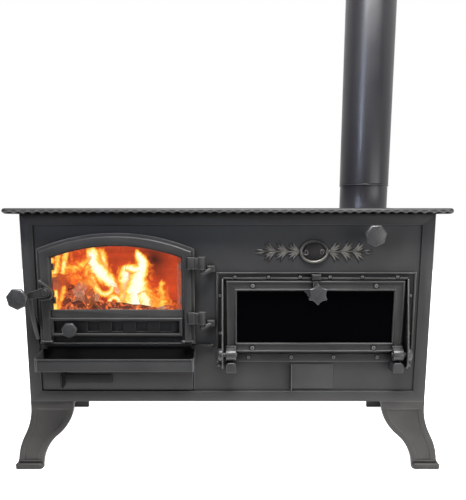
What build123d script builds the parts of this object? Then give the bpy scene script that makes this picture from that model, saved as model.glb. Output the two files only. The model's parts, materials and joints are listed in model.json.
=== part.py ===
from build123d import *
from math import cos, pi, radians, sin
import os

# Wood cookstove. Millimetres. X to the right, Y to the back, Z up from the floor.
# Everything is drawn with Y = 0 at the front of the body, and moved by CENTRE_Y when it is written.

CENTRE_Y = 220.0

# ---- driving dimensions -------------------------------------------------------------------------
BODY_HALF = 500.0
BODY_DEPTH = 500.0
BODY_BOTTOM = 175.0
BODY_TOP = 642.0
SHEET = 3.0

FRAME_THICK = 5.0
PANEL_THICK = 4.0
PANEL_FRONT = FRAME_THICK
PANEL_BACK = PANEL_FRONT + PANEL_THICK
FRAME_HALF = 470.0
FRAME_LOW = 202.0
FRAME_HIGH = 616.0

PLATE_THICK = 13.0
PLATE_TOP = BODY_TOP + PLATE_THICK
PLATE_HALF = 532.0
PLATE_FRONT = -38.0
PLATE_REAR = 512.0
RIM_R = PLATE_THICK / 2
RIM_CORNER_R = 7.0

HOB_X = -270.0
HOB_Y = 235.0
HOB_R = 128.0
HOB_LEDGE_R = 120.0
HOB_RING_THICK = 6.0
LID_R = 80.0
LID_LEDGE_R = 74.0
LID_THICK = 3.0

FLUE_X = 375.0
FLUE_Y = 235.0
FLUE_HOLE_R = 60.0
FLUE_FOOT_R = 84.0
FLUE_FOOT_THICK = 4.0
FLUE_SEAT_DEPTH = 0.5
COLLAR_R = 64.0
COLLAR_TOP = 722.0
SPIGOT_R = 63.3
SPIGOT_TOP = 762.0
PIPE_R = 65.5
PIPE_BORE_R = 63.5
PIPE_LENGTH = 500.0

# fire door, an arch on straight stiles
DOOR_LEFT = -460.0
DOOR_RIGHT = -80.5
DOOR_LOW = 327.0
DOOR_SPRING = 559.0
DOOR_APEX = 597.0
DOOR_BACK = 0.0
DOOR_PLATE_FRONT = -14.0
DOOR_MOULD_FRONT = -21.0
DOOR_MOULD_INSET = 7.0
MOULD_TO_WINDOW = 2.0
KICK_BACK = -3.0
KICK_LIP = 3.0
WINDOW_LEFT = -426.0
WINDOW_RIGHT = -112.0
WINDOW_LOW = 412.0
WINDOW_SPRING = 538.0
WINDOW_APEX = 566.0
GLASS_MARGIN = 9.0
GLASS_THICK = 4.0
FIRE_GLASS_BACK = -4.8
GASKET_THICK = 4.6

VENT_LEFT = -425.5
VENT_RIGHT = -119.0
VENT_LOW = 354.0
VENT_HIGH = 384.0
VENT_BORDER = 8.5
VENT_WALL_FRONT = -5.0
SLOT_COUNT = 4
SLOT_PITCH = 59.6
SLOT_HEIGHT = 24.0
WALL_SLOT_WIDTH = 24.0
WALL_SLOT_X = -358.0
SLIDER_SLOT_WIDTH = 28.0
SLIDER_SLOT_X = -331.0
SLIDER_LEFT = -404.0
SLIDER_RIGHT = -122.5
SLIDER_THICK = 2.5
AIR_KNOB_X = -381.5
AIR_KNOB_Z = 365.6

HINGE_X = -62.0
HINGE_Y = -24.0
BARREL_R = 9.2
BARREL_HEIGHT = 30.0
BARREL_CAP = 4.0
BARREL_BOTTOMS = (378.0, 511.0)
PINTLE_R = 4.95
PINTLE_TAIL_R = 6.5
RUNNING_GAP = 0.05

LATCH_X = -435.5
LATCH_Z = 458.0
LATCH_KNOB_X = -493.0
LATCH_KNOB_Z = 445.5
LATCH_TILT = 12.3
ARM_FRONT = -46.0
ARM_BACK = -38.0

# ember tray and the rod it hangs from
ROD_Y = -1.5
ROD_Z = 320.5
ROD_R = 2.8
CURL_R = 5.6
ROD_BALL_R = 4.5
TRAY_LEFT = -458.7
TRAY_RIGHT = -79.5
TRAY_LOW = 272.0
TRAY_FRONT = -78.5
TRAY_CORNER_FRONT = -80.0
TRAY_FRONT_TOP = 302.8
TRAY_SIDE_FRONT_TOP = 306.0
TRAY_SIDE_BACK_TOP = 316.0
TRAY_SHEET = 2.0

# ash drawer
DRAWER_LEFT = -468.0
DRAWER_RIGHT = -87.0
DRAWER_LOW = 204.0
DRAWER_HIGH = 258.0
DRAWER_DEPTH = 430.0
DRAWER_GAP = 2.0

# oven
OVEN_LEFT = 4.0
OVEN_RIGHT = 424.0
OVEN_LOW = 309.0
OVEN_HIGH = 473.0
OVEN_BACK = 437.0
RACK_Z = 400.0

SURROUND_LEFT = -27.0
SURROUND_RIGHT = 460.0
SURROUND_LOW = 278.5
SURROUND_HIGH = 502.5
SURROUND_IN_LEFT = -11.0
SURROUND_IN_RIGHT = 438.5
SURROUND_IN_LOW = 299.0
SURROUND_IN_HIGH = 485.7
EAR_LOW = 264.0
EAR_WIDTH = 13.0
LIP_FRONT = -4.0
LIP_WIDTH = 4.0
TOP_SCREWS = (18, 100, 177, 250, 329, 415)
TOP_SCREW_Z = 490.5

OVEN_DOOR_LEFT = -3.0
OVEN_DOOR_RIGHT = 430.7
OVEN_DOOR_LOW = 305.5
OVEN_DOOR_HIGH = 482.0
OVEN_DOOR_FRONT = -14.0
OVEN_DOOR_FIELD = -11.5
OVEN_DOOR_BACK = 3.0
OVEN_GLASS_BACK = 0.2
OVEN_GLASS_LEFT = 22.7
OVEN_GLASS_RIGHT = 405.6
OVEN_GLASS_LOW = 329.0
OVEN_GLASS_HIGH = 458.0
OVEN_HINGE_Y = -22.0
OVEN_HINGE_Z = 301.0
OVEN_PIN_R = 5.0
OVEN_PIN_HEAD_R = 16.0
KNUCKLE_R = 14.5
KNUCKLE_SPANS = ((-4.0, 21.0), (406.7, 431.7))
CHEEK_THICK = 3.0
STAR_X = 213.0
STAR_Z = 455.0
STAR_R = 27.5
STAR_VALLEY_R = 18.8

SOOT_LEFT = 160.3
SOOT_RIGHT = 264.9
SOOT_LOW = 208.0
SOOT_HIGH = 271.5

DAMPER_X = 344.0
DAMPER_Z = 592.0
DAMPER_ROD_R = 4.0

ORNAMENT_X = 210.0
ORNAMENT_Z = 552.0

# leg, an angle section whose edges are S-curves in both views; depths count back from the body front
LEG_TOP_OUT = 500.0
LEG_FOOT_OUT = 536.0
LEG_TOP_IN = 391.0
LEG_FOOT_IN = 474.5
LEG_FOOT_RISE = 14.0
LEG_SPLAY = 10.0
LEG_DEPTH_TOP = 100.0
LEG_DEPTH_FOOT = 60.0
LEG_WEB = 11.0
LEG_FLANGE = 8.0
LEG_BORDER = 14.0
LEG_RECESS = 2.0
TOE_OUT = 544.5
TOE_FRONT = -20.0
TOE_HEIGHT = 15.0
LEG_BOLT_R = 5.0
LEG_BOLT_PLAY = 0.5


# ---- small helpers ------------------------------------------------------------------------------
def block(x0, x1, y0, y1, z0, z1):
    """Box between two corners."""
    return Pos((x0 + x1) / 2, (y0 + y1) / 2, (z0 + z1) / 2) * Box(x1 - x0, y1 - y0, z1 - z0)


def along_x(outline, x0, x1):
    """Extrude a Y-Z outline from x0 to x1."""
    return extrude(Plane.YZ.offset(x0) * outline, x1 - x0)


def along_y(outline, y0, y1):
    """Extrude an X-Z outline from y0 back to y1."""
    return extrude(Plane.XZ.offset(-y1) * outline, y1 - y0)


def along_z(outline, z0, z1):
    """Extrude an X-Y outline from z0 up to z1."""
    return extrude(Plane.XY.offset(z0) * outline, z1 - z0)


def rod_x(x0, x1, y, z, radius):
    return along_x(Pos(y, z) * Circle(radius), x0, x1)


def rod_y(x, y0, y1, z, radius):
    return along_y(Pos(x, z) * Circle(radius), y0, y1)


def rod_z(x, y, z0, z1, radius):
    return along_z(Pos(x, y) * Circle(radius), z0, z1)


def rod_between(start, end, radius):
    """Round bar between two points."""
    run = Vector(*end) - Vector(*start)
    return extrude(Plane(origin=start, z_dir=run) * Circle(radius), run.length)


def rectangle(x0, x1, z0, z1):
    return Pos((x0 + x1) / 2, (z0 + z1) / 2) * Rectangle(x1 - x0, z1 - z0)


def bar(start, end, width):
    """Straight strip between two points of an outline."""
    run = Vector(*end) - Vector(*start)
    middle = (Vector(*start) + Vector(*end)) / 2
    tilt = Vector(1, 0, 0).get_signed_angle(run, Vector(0, 0, 1))
    return Pos(middle.X, middle.Y) * Rot(0, 0, tilt) * Rectangle(run.length, width)


def arched(x0, x1, z0, z_spring, z_apex):
    """Outline with straight sides and an arched top."""
    low_left, low_right = (x0, z0), (x1, z0)
    left, right = (x0, z_spring), (x1, z_spring)
    apex = ((x0 + x1) / 2, z_apex)
    edges = Line(low_left, low_right) + Line(low_right, right)
    edges += ThreePointArc(right, apex, left) + Line(left, low_left)
    return make_face(edges)


def s_curve(start, end):
    """Two equal arcs, upright at both ends."""
    middle = ((start[0] + end[0]) / 2, (start[1] + end[1]) / 2)
    direction = (0, 1) if end[1] > start[1] else (0, -1)
    first = TangentArc(start, middle, tangent=direction)
    second = TangentArc(middle, end, tangent=first % 1)
    return first + second


def group(shapes):
    """Separate solids in one sub-part."""
    return Compound(children=[solid for shape in shapes for solid in shape.solids()])


def seven_sided_knob(x, z, radius, y_front, thick, neck_r, neck_end):
    """Seven-sided cast knob on a round neck that runs back to neck_end."""
    y_back = y_front + thick
    head = along_y(Pos(x, z) * RegularPolygon(radius, 7, rotation=-90), y_front, y_back)
    front = head.faces().sort_by(Axis.Y)[0]
    back = head.faces().sort_by(Axis.Y)[-1]
    head = chamfer(front.edges(), thick * 0.2)
    head = chamfer(head.faces().sort_by(Axis.Y)[-1].edges(), thick * 0.35)
    return head + rod_y(x, y_back, neck_end, z, neck_r)


# ---- body ---------------------------------------------------------------------------------------
def front_frame():
    outer = rectangle(-BODY_HALF, BODY_HALF, BODY_BOTTOM, BODY_TOP)
    inner = rectangle(-FRAME_HALF, FRAME_HALF, FRAME_LOW, FRAME_HIGH)
    return along_y(outer - inner, 0, FRAME_THICK)


def front_panel():
    sheet = rectangle(-BODY_HALF, BODY_HALF, BODY_BOTTOM, BODY_TOP)
    sheet -= arched(-438, -102, 348, 540, 577)
    sheet -= rectangle(DRAWER_LEFT - DRAWER_GAP, DRAWER_RIGHT + DRAWER_GAP,
                       DRAWER_LOW - DRAWER_GAP, DRAWER_HIGH + DRAWER_GAP)
    sheet -= rectangle(OVEN_LEFT, OVEN_RIGHT, OVEN_LOW, OVEN_HIGH)
    sheet -= rectangle(SOOT_LEFT + 5, SOOT_RIGHT - 5, SOOT_LOW + 5, SOOT_HIGH - 5)
    sheet -= Pos(DAMPER_X, DAMPER_Z) * Circle(DAMPER_ROD_R + 1.5)
    return along_y(sheet, PANEL_FRONT, PANEL_BACK)


def side_panel(side):
    inner, outer = sorted((side * (BODY_HALF - SHEET), side * BODY_HALF))
    return block(inner, outer, PANEL_BACK, BODY_DEPTH, BODY_BOTTOM, BODY_TOP)


def back_panel():
    half = BODY_HALF - SHEET
    return block(-half, half, BODY_DEPTH - SHEET, BODY_DEPTH, BODY_BOTTOM, BODY_TOP)


def base_panel():
    half = BODY_HALF - SHEET
    sheet = block(-half, half, PANEL_BACK, BODY_DEPTH - SHEET, BODY_BOTTOM, BODY_BOTTOM + SHEET)
    for x, y in leg_bolt_places():
        sheet -= rod_z(x, y, BODY_BOTTOM - 1, BODY_BOTTOM + SHEET + 1, LEG_BOLT_R + LEG_BOLT_PLAY)
    return sheet


# ---- cooktop ------------------------------------------------------------------------------------
def plate_rim():
    """Round edge of the plate, along its front and both sides."""
    x = PLATE_HALF - RIM_R
    front = PLATE_FRONT + RIM_R
    z = BODY_TOP + RIM_R
    corners = [(-x, PLATE_REAR, z), (-x, front, z), (x, front, z), (x, PLATE_REAR, z)]
    path = FilletPolyline(*corners, radius=RIM_CORNER_R)
    return sweep(Plane(origin=corners[0], z_dir=(0, -1, 0)) * Circle(RIM_R), path=path)


def cooktop_plate():
    x = PLATE_HALF - RIM_R
    front = PLATE_FRONT + RIM_R
    outline = Pos(0, (front + PLATE_REAR) / 2) * Rectangle(2 * x, PLATE_REAR - front)
    front_corners = outline.vertices().sort_by(Axis.Y)[:2]
    outline = fillet(front_corners, RIM_CORNER_R)
    plate = along_z(outline, BODY_TOP, PLATE_TOP)
    plate -= rod_z(HOB_X, HOB_Y, BODY_TOP, PLATE_TOP, HOB_LEDGE_R)
    plate -= rod_z(HOB_X, HOB_Y, PLATE_TOP - HOB_RING_THICK, PLATE_TOP, HOB_R)
    plate -= rod_z(FLUE_X, FLUE_Y, BODY_TOP, PLATE_TOP, FLUE_HOLE_R)
    plate -= rod_z(FLUE_X, FLUE_Y, PLATE_TOP - FLUE_SEAT_DEPTH, PLATE_TOP, FLUE_FOOT_R + 0.5)
    return plate - plate_rim()


def hob_ring():
    low = PLATE_TOP - HOB_RING_THICK
    ring = rod_z(HOB_X, HOB_Y, low, PLATE_TOP, HOB_R - 0.5)
    ring -= rod_z(HOB_X, HOB_Y, low, PLATE_TOP, LID_LEDGE_R)
    ring -= rod_z(HOB_X, HOB_Y, PLATE_TOP - LID_THICK, PLATE_TOP, LID_R)
    return ring


def hob_lid():
    """Round lid with a pocket and a bridge for the lifting hook."""
    lid = rod_z(HOB_X, HOB_Y, PLATE_TOP - LID_THICK, PLATE_TOP, LID_R - 0.5)
    lid += rod_z(HOB_X, HOB_Y, PLATE_TOP - 9, PLATE_TOP - LID_THICK, LID_LEDGE_R - 0.5)
    pocket = along_z(Pos(HOB_X, HOB_Y) * SlotOverall(34, 18), PLATE_TOP - 6, PLATE_TOP)
    bridge = block(HOB_X - 4, HOB_X + 4, HOB_Y - 9, HOB_Y + 9, PLATE_TOP - 3, PLATE_TOP)
    return lid - pocket + bridge


def flue_collar():
    """Collar with a beaded top, whose foot stands in the turned seat of the plate."""
    seat = PLATE_TOP - FLUE_SEAT_DEPTH
    bead = fillet(rod_z(FLUE_X, FLUE_Y, COLLAR_TOP - 4, COLLAR_TOP, PIPE_R + 0.5).edges(), 1.5)
    foot = rod_z(FLUE_X, FLUE_Y, seat, PLATE_TOP + FLUE_FOOT_THICK, FLUE_FOOT_R)
    tube = rod_z(FLUE_X, FLUE_Y, seat, COLLAR_TOP, COLLAR_R)
    spigot = rod_z(FLUE_X, FLUE_Y, COLLAR_TOP, SPIGOT_TOP, SPIGOT_R)
    bore = rod_z(FLUE_X, FLUE_Y, seat, SPIGOT_TOP, FLUE_HOLE_R)
    return foot + tube + bead + spigot - bore


def flue_pipe():
    top = COLLAR_TOP + PIPE_LENGTH
    pipe = rod_z(FLUE_X, FLUE_Y, COLLAR_TOP, top, PIPE_R)
    pipe = fillet(pipe.faces().sort_by(Axis.Z)[0].edges(), 1.5)
    return pipe - rod_z(FLUE_X, FLUE_Y, COLLAR_TOP, top, PIPE_BORE_R)


# ---- legs ---------------------------------------------------------------------------------------
def leg_profile(top_out, foot_out, foot_in, top_in):
    """Front or side view of a leg, with its outer side to the right."""
    outer_top = (top_out, BODY_BOTTOM)
    outer_bend = (top_out, BODY_BOTTOM - 15)
    outer_foot = (foot_out, LEG_FOOT_RISE)
    outer_floor = (foot_out, 0)
    inner_floor = (foot_in, 0)
    inner_top = (top_in, BODY_BOTTOM)
    edges = Line(outer_top, outer_bend) + s_curve(outer_bend, outer_foot)
    edges += Line(outer_foot, outer_floor) + Line(outer_floor, inner_floor)
    edges += s_curve(inner_floor, inner_top) + Line(inner_top, outer_top)
    return make_face(edges)


def leg_front_view():
    return leg_profile(LEG_TOP_OUT, LEG_FOOT_OUT, LEG_FOOT_IN, LEG_TOP_IN)


def leg_side_view():
    """Side view in Y and Z, so that the outer side looks to the front."""
    return mirror(leg_profile(0, LEG_SPLAY, -LEG_DEPTH_FOOT, -LEG_DEPTH_TOP), Plane.YZ)


def leg_body():
    return along_y(leg_front_view(), -80, 140) & along_x(leg_side_view(), 360, 580)


def leg_recesses(body):
    """Shallow panel inside a raised border, on the front face and on the outer side."""
    high = BODY_BOTTOM - 21
    low = TOE_HEIGHT + 7
    front = offset(leg_front_view(), amount=-LEG_BORDER) & rectangle(300, 600, low, high)
    side = offset(leg_side_view(), amount=-LEG_BORDER) & rectangle(-100, 200, low, high)
    front_cut = along_y(front, -90, 60) - Pos(0, LEG_RECESS, 0) * body
    side_cut = along_x(side, 450, 600) - Pos(-LEG_RECESS, 0, 0) * body
    return front_cut, side_cut


def leg_toe():
    toe = block(LEG_FOOT_IN, TOE_OUT, TOE_FRONT, LEG_DEPTH_FOOT, 0, TOE_HEIGHT)
    toe = fillet(toe.edges().filter_by(Axis.Z), 8)
    return fillet(toe.faces().sort_by(Axis.Z)[-1].edges(), 7)


def leg_bead(body):
    """Low bead round the leg just above the toe."""
    low, high = TOE_HEIGHT + 3, TOE_HEIGHT + 7
    return Pos(1.2, -1.2, 0) * body & block(480, 600, -60, 56, low, high)


def front_right_leg():
    body = leg_body()
    front_cut, side_cut = leg_recesses(body)
    hollow = Pos(-LEG_WEB, LEG_WEB, 0) * body & block(300, 600, -100, 200, 0, BODY_BOTTOM - LEG_FLANGE)
    hollow += block(LEG_FOOT_IN - 1, LEG_FOOT_OUT - LEG_WEB,
                    LEG_WEB - LEG_SPLAY, LEG_DEPTH_FOOT + 1, 0, TOE_HEIGHT)
    leg = body - front_cut - side_cut + leg_toe() + leg_bead(body) - hollow
    for x, y in corner_bolts():
        leg -= rod_z(x, y, BODY_BOTTOM - LEG_FLANGE - 1, BODY_BOTTOM + 1, LEG_BOLT_R + LEG_BOLT_PLAY)
    return leg


def corner_bolts():
    return (LEG_TOP_IN + 22, 32.0), (LEG_TOP_IN + 48, 72.0)


def leg_bolt_places():
    places = []
    for x, y in corner_bolts():
        for side in (-1, 1):
            places += [(side * x, y), (side * x, BODY_DEPTH - y)]
    return places


def leg_bolts():
    seat = 0.1
    head_low = BODY_BOTTOM + SHEET + seat
    nut_high = BODY_BOTTOM - LEG_FLANGE - seat
    bolts = []
    for x, y in leg_bolt_places():
        shank = rod_z(x, y, BODY_BOTTOM - 22, head_low, LEG_BOLT_R)
        head = along_z(Pos(x, y) * RegularPolygon(9, 6), head_low, head_low + 6)
        nut = along_z(Pos(x, y) * RegularPolygon(9, 6), nut_high - 8, nut_high)
        bolts.append(shank + head + nut)
    return group(bolts)


# ---- firebox ------------------------------------------------------------------------------------
SHELL_LEFT = -452.0
SHELL_RIGHT = -92.0
SHELL_WALL = 4.0
SHELL_BACK = 470.0
SHELL_LOW = 262.0
LEDGE_Z = 318.0
GRATE_X = (-398.0, -146.0)
GRATE_Y = (62.0, 418.0)
GRATE_Z = (LEDGE_Z + SHELL_WALL, 334.0)
BRICK = 28.0
BRICK_TOP = 545.0


def firebox_shell():
    """Welded walls, and a ledge of four strips that carries the grate."""
    left, right = SHELL_LEFT + SHELL_WALL, SHELL_RIGHT - SHELL_WALL
    back = SHELL_BACK - SHELL_WALL
    rest = 8.0
    hole_left, hole_right = GRATE_X[0] + rest, GRATE_X[1] - rest
    hole_front, hole_back = GRATE_Y[0] + rest, GRATE_Y[1] - rest
    low, high = LEDGE_Z, LEDGE_Z + SHELL_WALL
    walls = [
        block(SHELL_LEFT, left, PANEL_BACK, SHELL_BACK, SHELL_LOW, BODY_TOP - 6),
        block(right, SHELL_RIGHT, PANEL_BACK, SHELL_BACK, SHELL_LOW, 560),
        block(left, right, back, SHELL_BACK, SHELL_LOW, BODY_TOP - 6),
        block(left, hole_left, PANEL_BACK, back, low, high),
        block(hole_right, right, PANEL_BACK, back, low, high),
        block(hole_left, hole_right, PANEL_BACK, hole_front, low, high),
        block(hole_left, hole_right, hole_back, back, low, high),
    ]
    return group(walls)


def grate():
    bars = block(*GRATE_X, *GRATE_Y, *GRATE_Z)
    slot_pitch = 21.0
    slot_count = 11
    middle = sum(GRATE_X) / 2
    for row_y in (151.0, 329.0):
        for index in range(slot_count):
            x = middle + (index - (slot_count - 1) / 2) * slot_pitch
            bars -= along_z(Pos(x, row_y) * Rectangle(10, 156), *GRATE_Z)
    return bars


def firebrick_sides():
    low = LEDGE_Z + SHELL_WALL + 0.5
    left = SHELL_LEFT + SHELL_WALL + 0.5
    right = SHELL_RIGHT - SHELL_WALL - 0.5
    bricks = []
    for x0, x1 in ((left, left + BRICK), (right - BRICK, right)):
        bricks.append(block(x0, x1, 14, 221, low, BRICK_TOP))
        bricks.append(block(x0, x1, 222, 430, low, BRICK_TOP))
    return group(bricks)


def firebrick_back():
    low = LEDGE_Z + SHELL_WALL + 0.5
    left = SHELL_LEFT + SHELL_WALL + 0.5
    right = SHELL_RIGHT - SHELL_WALL - 0.5
    middle = (left + right) / 2
    back = SHELL_BACK - SHELL_WALL - 0.5
    return group([
        block(left, middle - 0.5, 432, back, low, BRICK_TOP + 35),
        block(middle + 0.5, right, 432, back, low, BRICK_TOP + 35),
    ])


def drawer_runners():
    runners = []
    for x0, x1 in ((DRAWER_LEFT, DRAWER_LEFT + 14), (DRAWER_RIGHT - 14, DRAWER_RIGHT)):
        outer = block(x0, x1, 12, 440, BODY_BOTTOM + SHEET, DRAWER_LOW + 1.7)
        inner = block(x0 + 2, x1 - 2, 12, 440, BODY_BOTTOM + SHEET + 2, DRAWER_LOW - 0.3)
        runners.append(outer - inner)
    return group(runners)


# ---- fire door ----------------------------------------------------------------------------------
def door_outline(inset=0.0):
    return arched(DOOR_LEFT + inset, DOOR_RIGHT - inset, DOOR_LOW + inset,
                  DOOR_SPRING - inset * 0.8, DOOR_APEX - inset)


def window_outline(margin=0.0):
    return arched(WINDOW_LEFT - margin, WINDOW_RIGHT + margin, WINDOW_LOW - margin,
                  WINDOW_SPRING + margin * 0.8, WINDOW_APEX + margin)


def vent_slots(first_x, width):
    slots = Sketch()
    for index in range(SLOT_COUNT):
        x = first_x + index * SLOT_PITCH
        slots += Pos(x, (VENT_LOW + VENT_HIGH) / 2) * Rectangle(width, SLOT_HEIGHT)
    return slots


def latch_fork():
    """Two ribs joined by a bow, and a round boss, that carry the latch bolt."""
    boss = rod_y(LATCH_X, ARM_BACK + 0.5, DOOR_PLATE_FRONT, LATCH_Z, 9)
    ribs = bar((-451, 485), (-426.5, 464), 5) + bar((-451, 439.6), (-426.5, 442), 5)
    x, high, low = -427.5, 466.5, 439.5
    edges = ThreePointArc((x, high), (-418.5, 453), (x, low)) + Line((x, low), (x, low + 5))
    edges += ThreePointArc((x, low + 5), (-423.5, 453), (x, high - 5)) + Line((x, high - 5), (x, high))
    bow = along_y(make_face(edges), ARM_BACK, DOOR_MOULD_FRONT)
    return boss + along_y(ribs, ARM_BACK, DOOR_PLATE_FRONT) + bow


def vent_frame():
    """Rounded border of the vent pocket."""
    outer = rectangle(VENT_LEFT - VENT_BORDER, VENT_RIGHT + VENT_BORDER,
                      VENT_LOW - VENT_BORDER, VENT_HIGH + VENT_BORDER)
    pocket = rectangle(VENT_LEFT, VENT_RIGHT, VENT_LOW, VENT_HIGH)
    border = along_y(outer - pocket, DOOR_MOULD_FRONT + 1, DOOR_PLATE_FRONT)
    return fillet(border.faces().sort_by(Axis.Y)[0].edges(), VENT_BORDER * 0.4)


def stile_feet():
    """Cast bars across the bottom of both stiles, with ball ends."""
    y, z = -22.0, DOOR_LOW + 6.5
    feet = rod_x(-453.5, -430, y, z, 3.3) + rod_x(-110, -86.5, y, z, 3.4)
    for x, radius in ((-453.5, 5.2), (-110, 4.2), (-86.5, 4.2)):
        feet += Pos(x, y, z) * Sphere(radius)
    return feet


def fire_door():
    plate = along_y(door_outline(), DOOR_PLATE_FRONT, DOOR_BACK)
    mould = door_outline(DOOR_MOULD_INSET) & rectangle(DOOR_LEFT, DOOR_RIGHT, WINDOW_LOW, DOOR_APEX)
    stiles = rectangle(DOOR_LEFT + DOOR_MOULD_INSET, WINDOW_LEFT - 6, DOOR_LOW, WINDOW_LOW)
    stiles += rectangle(WINDOW_RIGHT + 6, DOOR_RIGHT - DOOR_MOULD_INSET, DOOR_LOW, WINDOW_LOW)
    raised = along_y(mould + stiles - window_outline(MOULD_TO_WINDOW), DOOR_MOULD_FRONT, DOOR_PLATE_FRONT)
    raised = chamfer(raised.faces().sort_by(Axis.Y)[0].edges(), 2.5)
    vent_pocket = rectangle(VENT_LEFT, VENT_RIGHT, VENT_LOW, VENT_HIGH)
    kick = rectangle(WINDOW_LEFT - 3, WINDOW_RIGHT + 3, DOOR_LOW + KICK_LIP, VENT_LOW - VENT_BORDER)
    door = plate + raised + vent_frame() + stile_feet() + latch_fork()
    door -= along_y(window_outline(), DOOR_MOULD_FRONT, DOOR_BACK)
    door -= along_y(window_outline(GLASS_MARGIN), -9, DOOR_BACK)
    door -= along_y(vent_pocket, DOOR_MOULD_FRONT, VENT_WALL_FRONT)
    door -= along_y(vent_slots(WALL_SLOT_X, WALL_SLOT_WIDTH), VENT_WALL_FRONT, DOOR_BACK)
    door -= along_y(kick, DOOR_PLATE_FRONT, KICK_BACK)
    door -= rod_y(LATCH_X, ARM_BACK, DOOR_PLATE_FRONT, LATCH_Z, 4.3)
    return door


def fire_door_glass():
    return along_y(window_outline(GLASS_MARGIN - 1), FIRE_GLASS_BACK - GLASS_THICK, FIRE_GLASS_BACK)


def fire_glass_clips():
    """Four cranked clips, screwed on behind the door, whose tongues hold the glass."""
    clips = []
    half_height = 8.0
    strap_back = DOOR_BACK + 1.8
    for x, side in ((WINDOW_LEFT - 12, 1), (WINDOW_RIGHT + 12, -1)):
        for z in (WINDOW_LOW + 22, WINDOW_SPRING - 22):
            x0, x1 = sorted((x - side * 5, x + side * 16))
            strap = block(x0, x1, DOOR_BACK, strap_back, z - half_height, z + half_height)
            x0, x1 = sorted((x + side * 4, x + side * 16))
            tongue = block(x0, x1, FIRE_GLASS_BACK + 0.1, DOOR_BACK, z - half_height, z + half_height)
            clips.append(strap + tongue + rod_y(x, strap_back, strap_back + 2.2, z, 4))
    return group(clips)


def fire_door_gasket():
    ring = door_outline(5) - door_outline(14)
    return along_y(ring, DOOR_BACK, DOOR_BACK + GASKET_THICK)


def fire_door_barrels():
    """Lug, web and barrel of both hinges."""
    barrels = []
    for low in BARREL_BOTTOMS:
        high = low + BARREL_HEIGHT
        lug = block(-96, -79.5, -31, DOOR_MOULD_FRONT, low + 1, high - 1)
        lug = fillet(lug.edges().filter_by(Axis.Z), 3)
        web = block(-82, HINGE_X, -28, -21, low + 2, high - 2)
        barrel = rod_z(HINGE_X, HINGE_Y, low, high, BARREL_R)
        bore = rod_z(HINGE_X, HINGE_Y, low, high - BARREL_CAP, PINTLE_R + RUNNING_GAP)
        barrels.append(lug + web + barrel - bore)
    return group(barrels)


def door_pintles():
    """Bent pins: up into a barrel, and along a rising arm into a root on the panel."""
    pins = []
    for low in BARREL_BOTTOMS:
        foot = (HINGE_X, HINGE_Y, low - 10.8)
        elbow = (-39.5, -11.0, low - 0.7)
        pin = rod_z(HINGE_X, HINGE_Y, foot[2], low + BARREL_HEIGHT - BARREL_CAP - 1, PINTLE_R)
        pin += Pos(*foot) * Sphere(PINTLE_TAIL_R)
        root = block(-52.3, -30, -18, PANEL_FRONT, low - 7, low + 8.5)
        root = fillet(root.edges().filter_by(Axis.Y), 4)
        root = fillet(root.faces().sort_by(Axis.Y)[0].edges(), 3)
        pins.append(pin + rod_between(foot, elbow, PINTLE_TAIL_R) + root)
    return group(pins)


def latch_arm():
    """Arm that narrows from the pivot to the neck of the knob."""
    pivot_r, waist, taper_long = 12.0, 7.5, 40.0
    taper = make_face(Polyline((0, pivot_r), (taper_long, waist), (taper_long, -waist), (0, -pivot_r),
                               close=True))
    tilt = 180 + LATCH_TILT
    outline = Circle(pivot_r) + taper
    arm = along_y(Pos(LATCH_X, LATCH_Z) * Rot(0, 0, tilt) * outline, ARM_FRONT, ARM_BACK)
    neck = bar((LATCH_X - 30, LATCH_Z - 6.5), (LATCH_KNOB_X, LATCH_KNOB_Z), 10)
    arm += along_y(neck, ARM_FRONT, ARM_BACK)
    return arm - rod_y(LATCH_X, ARM_FRONT, ARM_BACK, LATCH_Z, 4 + RUNNING_GAP)


def latch_bolt():
    head = rod_y(LATCH_X, ARM_FRONT - 4.3, ARM_FRONT - 0.3, LATCH_Z, 8)
    head = fillet(head.faces().sort_by(Axis.Y)[0].edges(), 2)
    return head + rod_y(LATCH_X, ARM_FRONT - 0.3, DOOR_PLATE_FRONT, LATCH_Z, 4)


def latch_knob():
    return seven_sided_knob(LATCH_KNOB_X, LATCH_KNOB_Z, 26, -76, 15, 7, ARM_FRONT)


def latch_keeper():
    """Curved strap on the border frame, under the latch arm."""
    foot_low, foot_high = (0, 335), (0, 366)
    tip_out, tip_in = (-45, 440.5), (-41, 440.5)
    edges = Line(foot_high, foot_low) + ThreePointArc(foot_low, (-27, 380), tip_out)
    edges += Line(tip_out, tip_in) + ThreePointArc(tip_in, (-21, 390), foot_high)
    left, right = -475.5, -465.5
    foot = block(-FRAME_HALF + 0.1, right, 0, PANEL_FRONT, foot_low[1], foot_high[1])
    return along_x(make_face(edges), left, right) + foot


def air_slider():
    plate = rectangle(SLIDER_LEFT, SLIDER_RIGHT, VENT_LOW + 0.7, VENT_HIGH - 0.7)
    plate -= vent_slots(SLIDER_SLOT_X, SLIDER_SLOT_WIDTH)
    back = VENT_WALL_FRONT - 0.3
    return along_y(plate, back - SLIDER_THICK, back)


def air_knob():
    slider_front = VENT_WALL_FRONT - 0.3 - SLIDER_THICK
    return seven_sided_knob(AIR_KNOB_X, AIR_KNOB_Z, 19.5, -47, 12, 5, slider_front)


# ---- ember tray and ash drawer ------------------------------------------------------------------
def tray_rod():
    """Rod with ball ends, and a lug near each end that stands it off the panel."""
    left, right = -459.6 + ROD_BALL_R, -34.0 - ROD_BALL_R
    rod = rod_x(left, right, ROD_Y, ROD_Z, ROD_R)
    for x in (left, right):
        rod += Pos(x, ROD_Y, ROD_Z) * Sphere(ROD_BALL_R)
    for x in (left, -55.0):
        rod += block(x - 4, x + 4, ROD_Y, PANEL_FRONT, ROD_Z - 3, ROD_Z + 3)
    return rod


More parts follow.
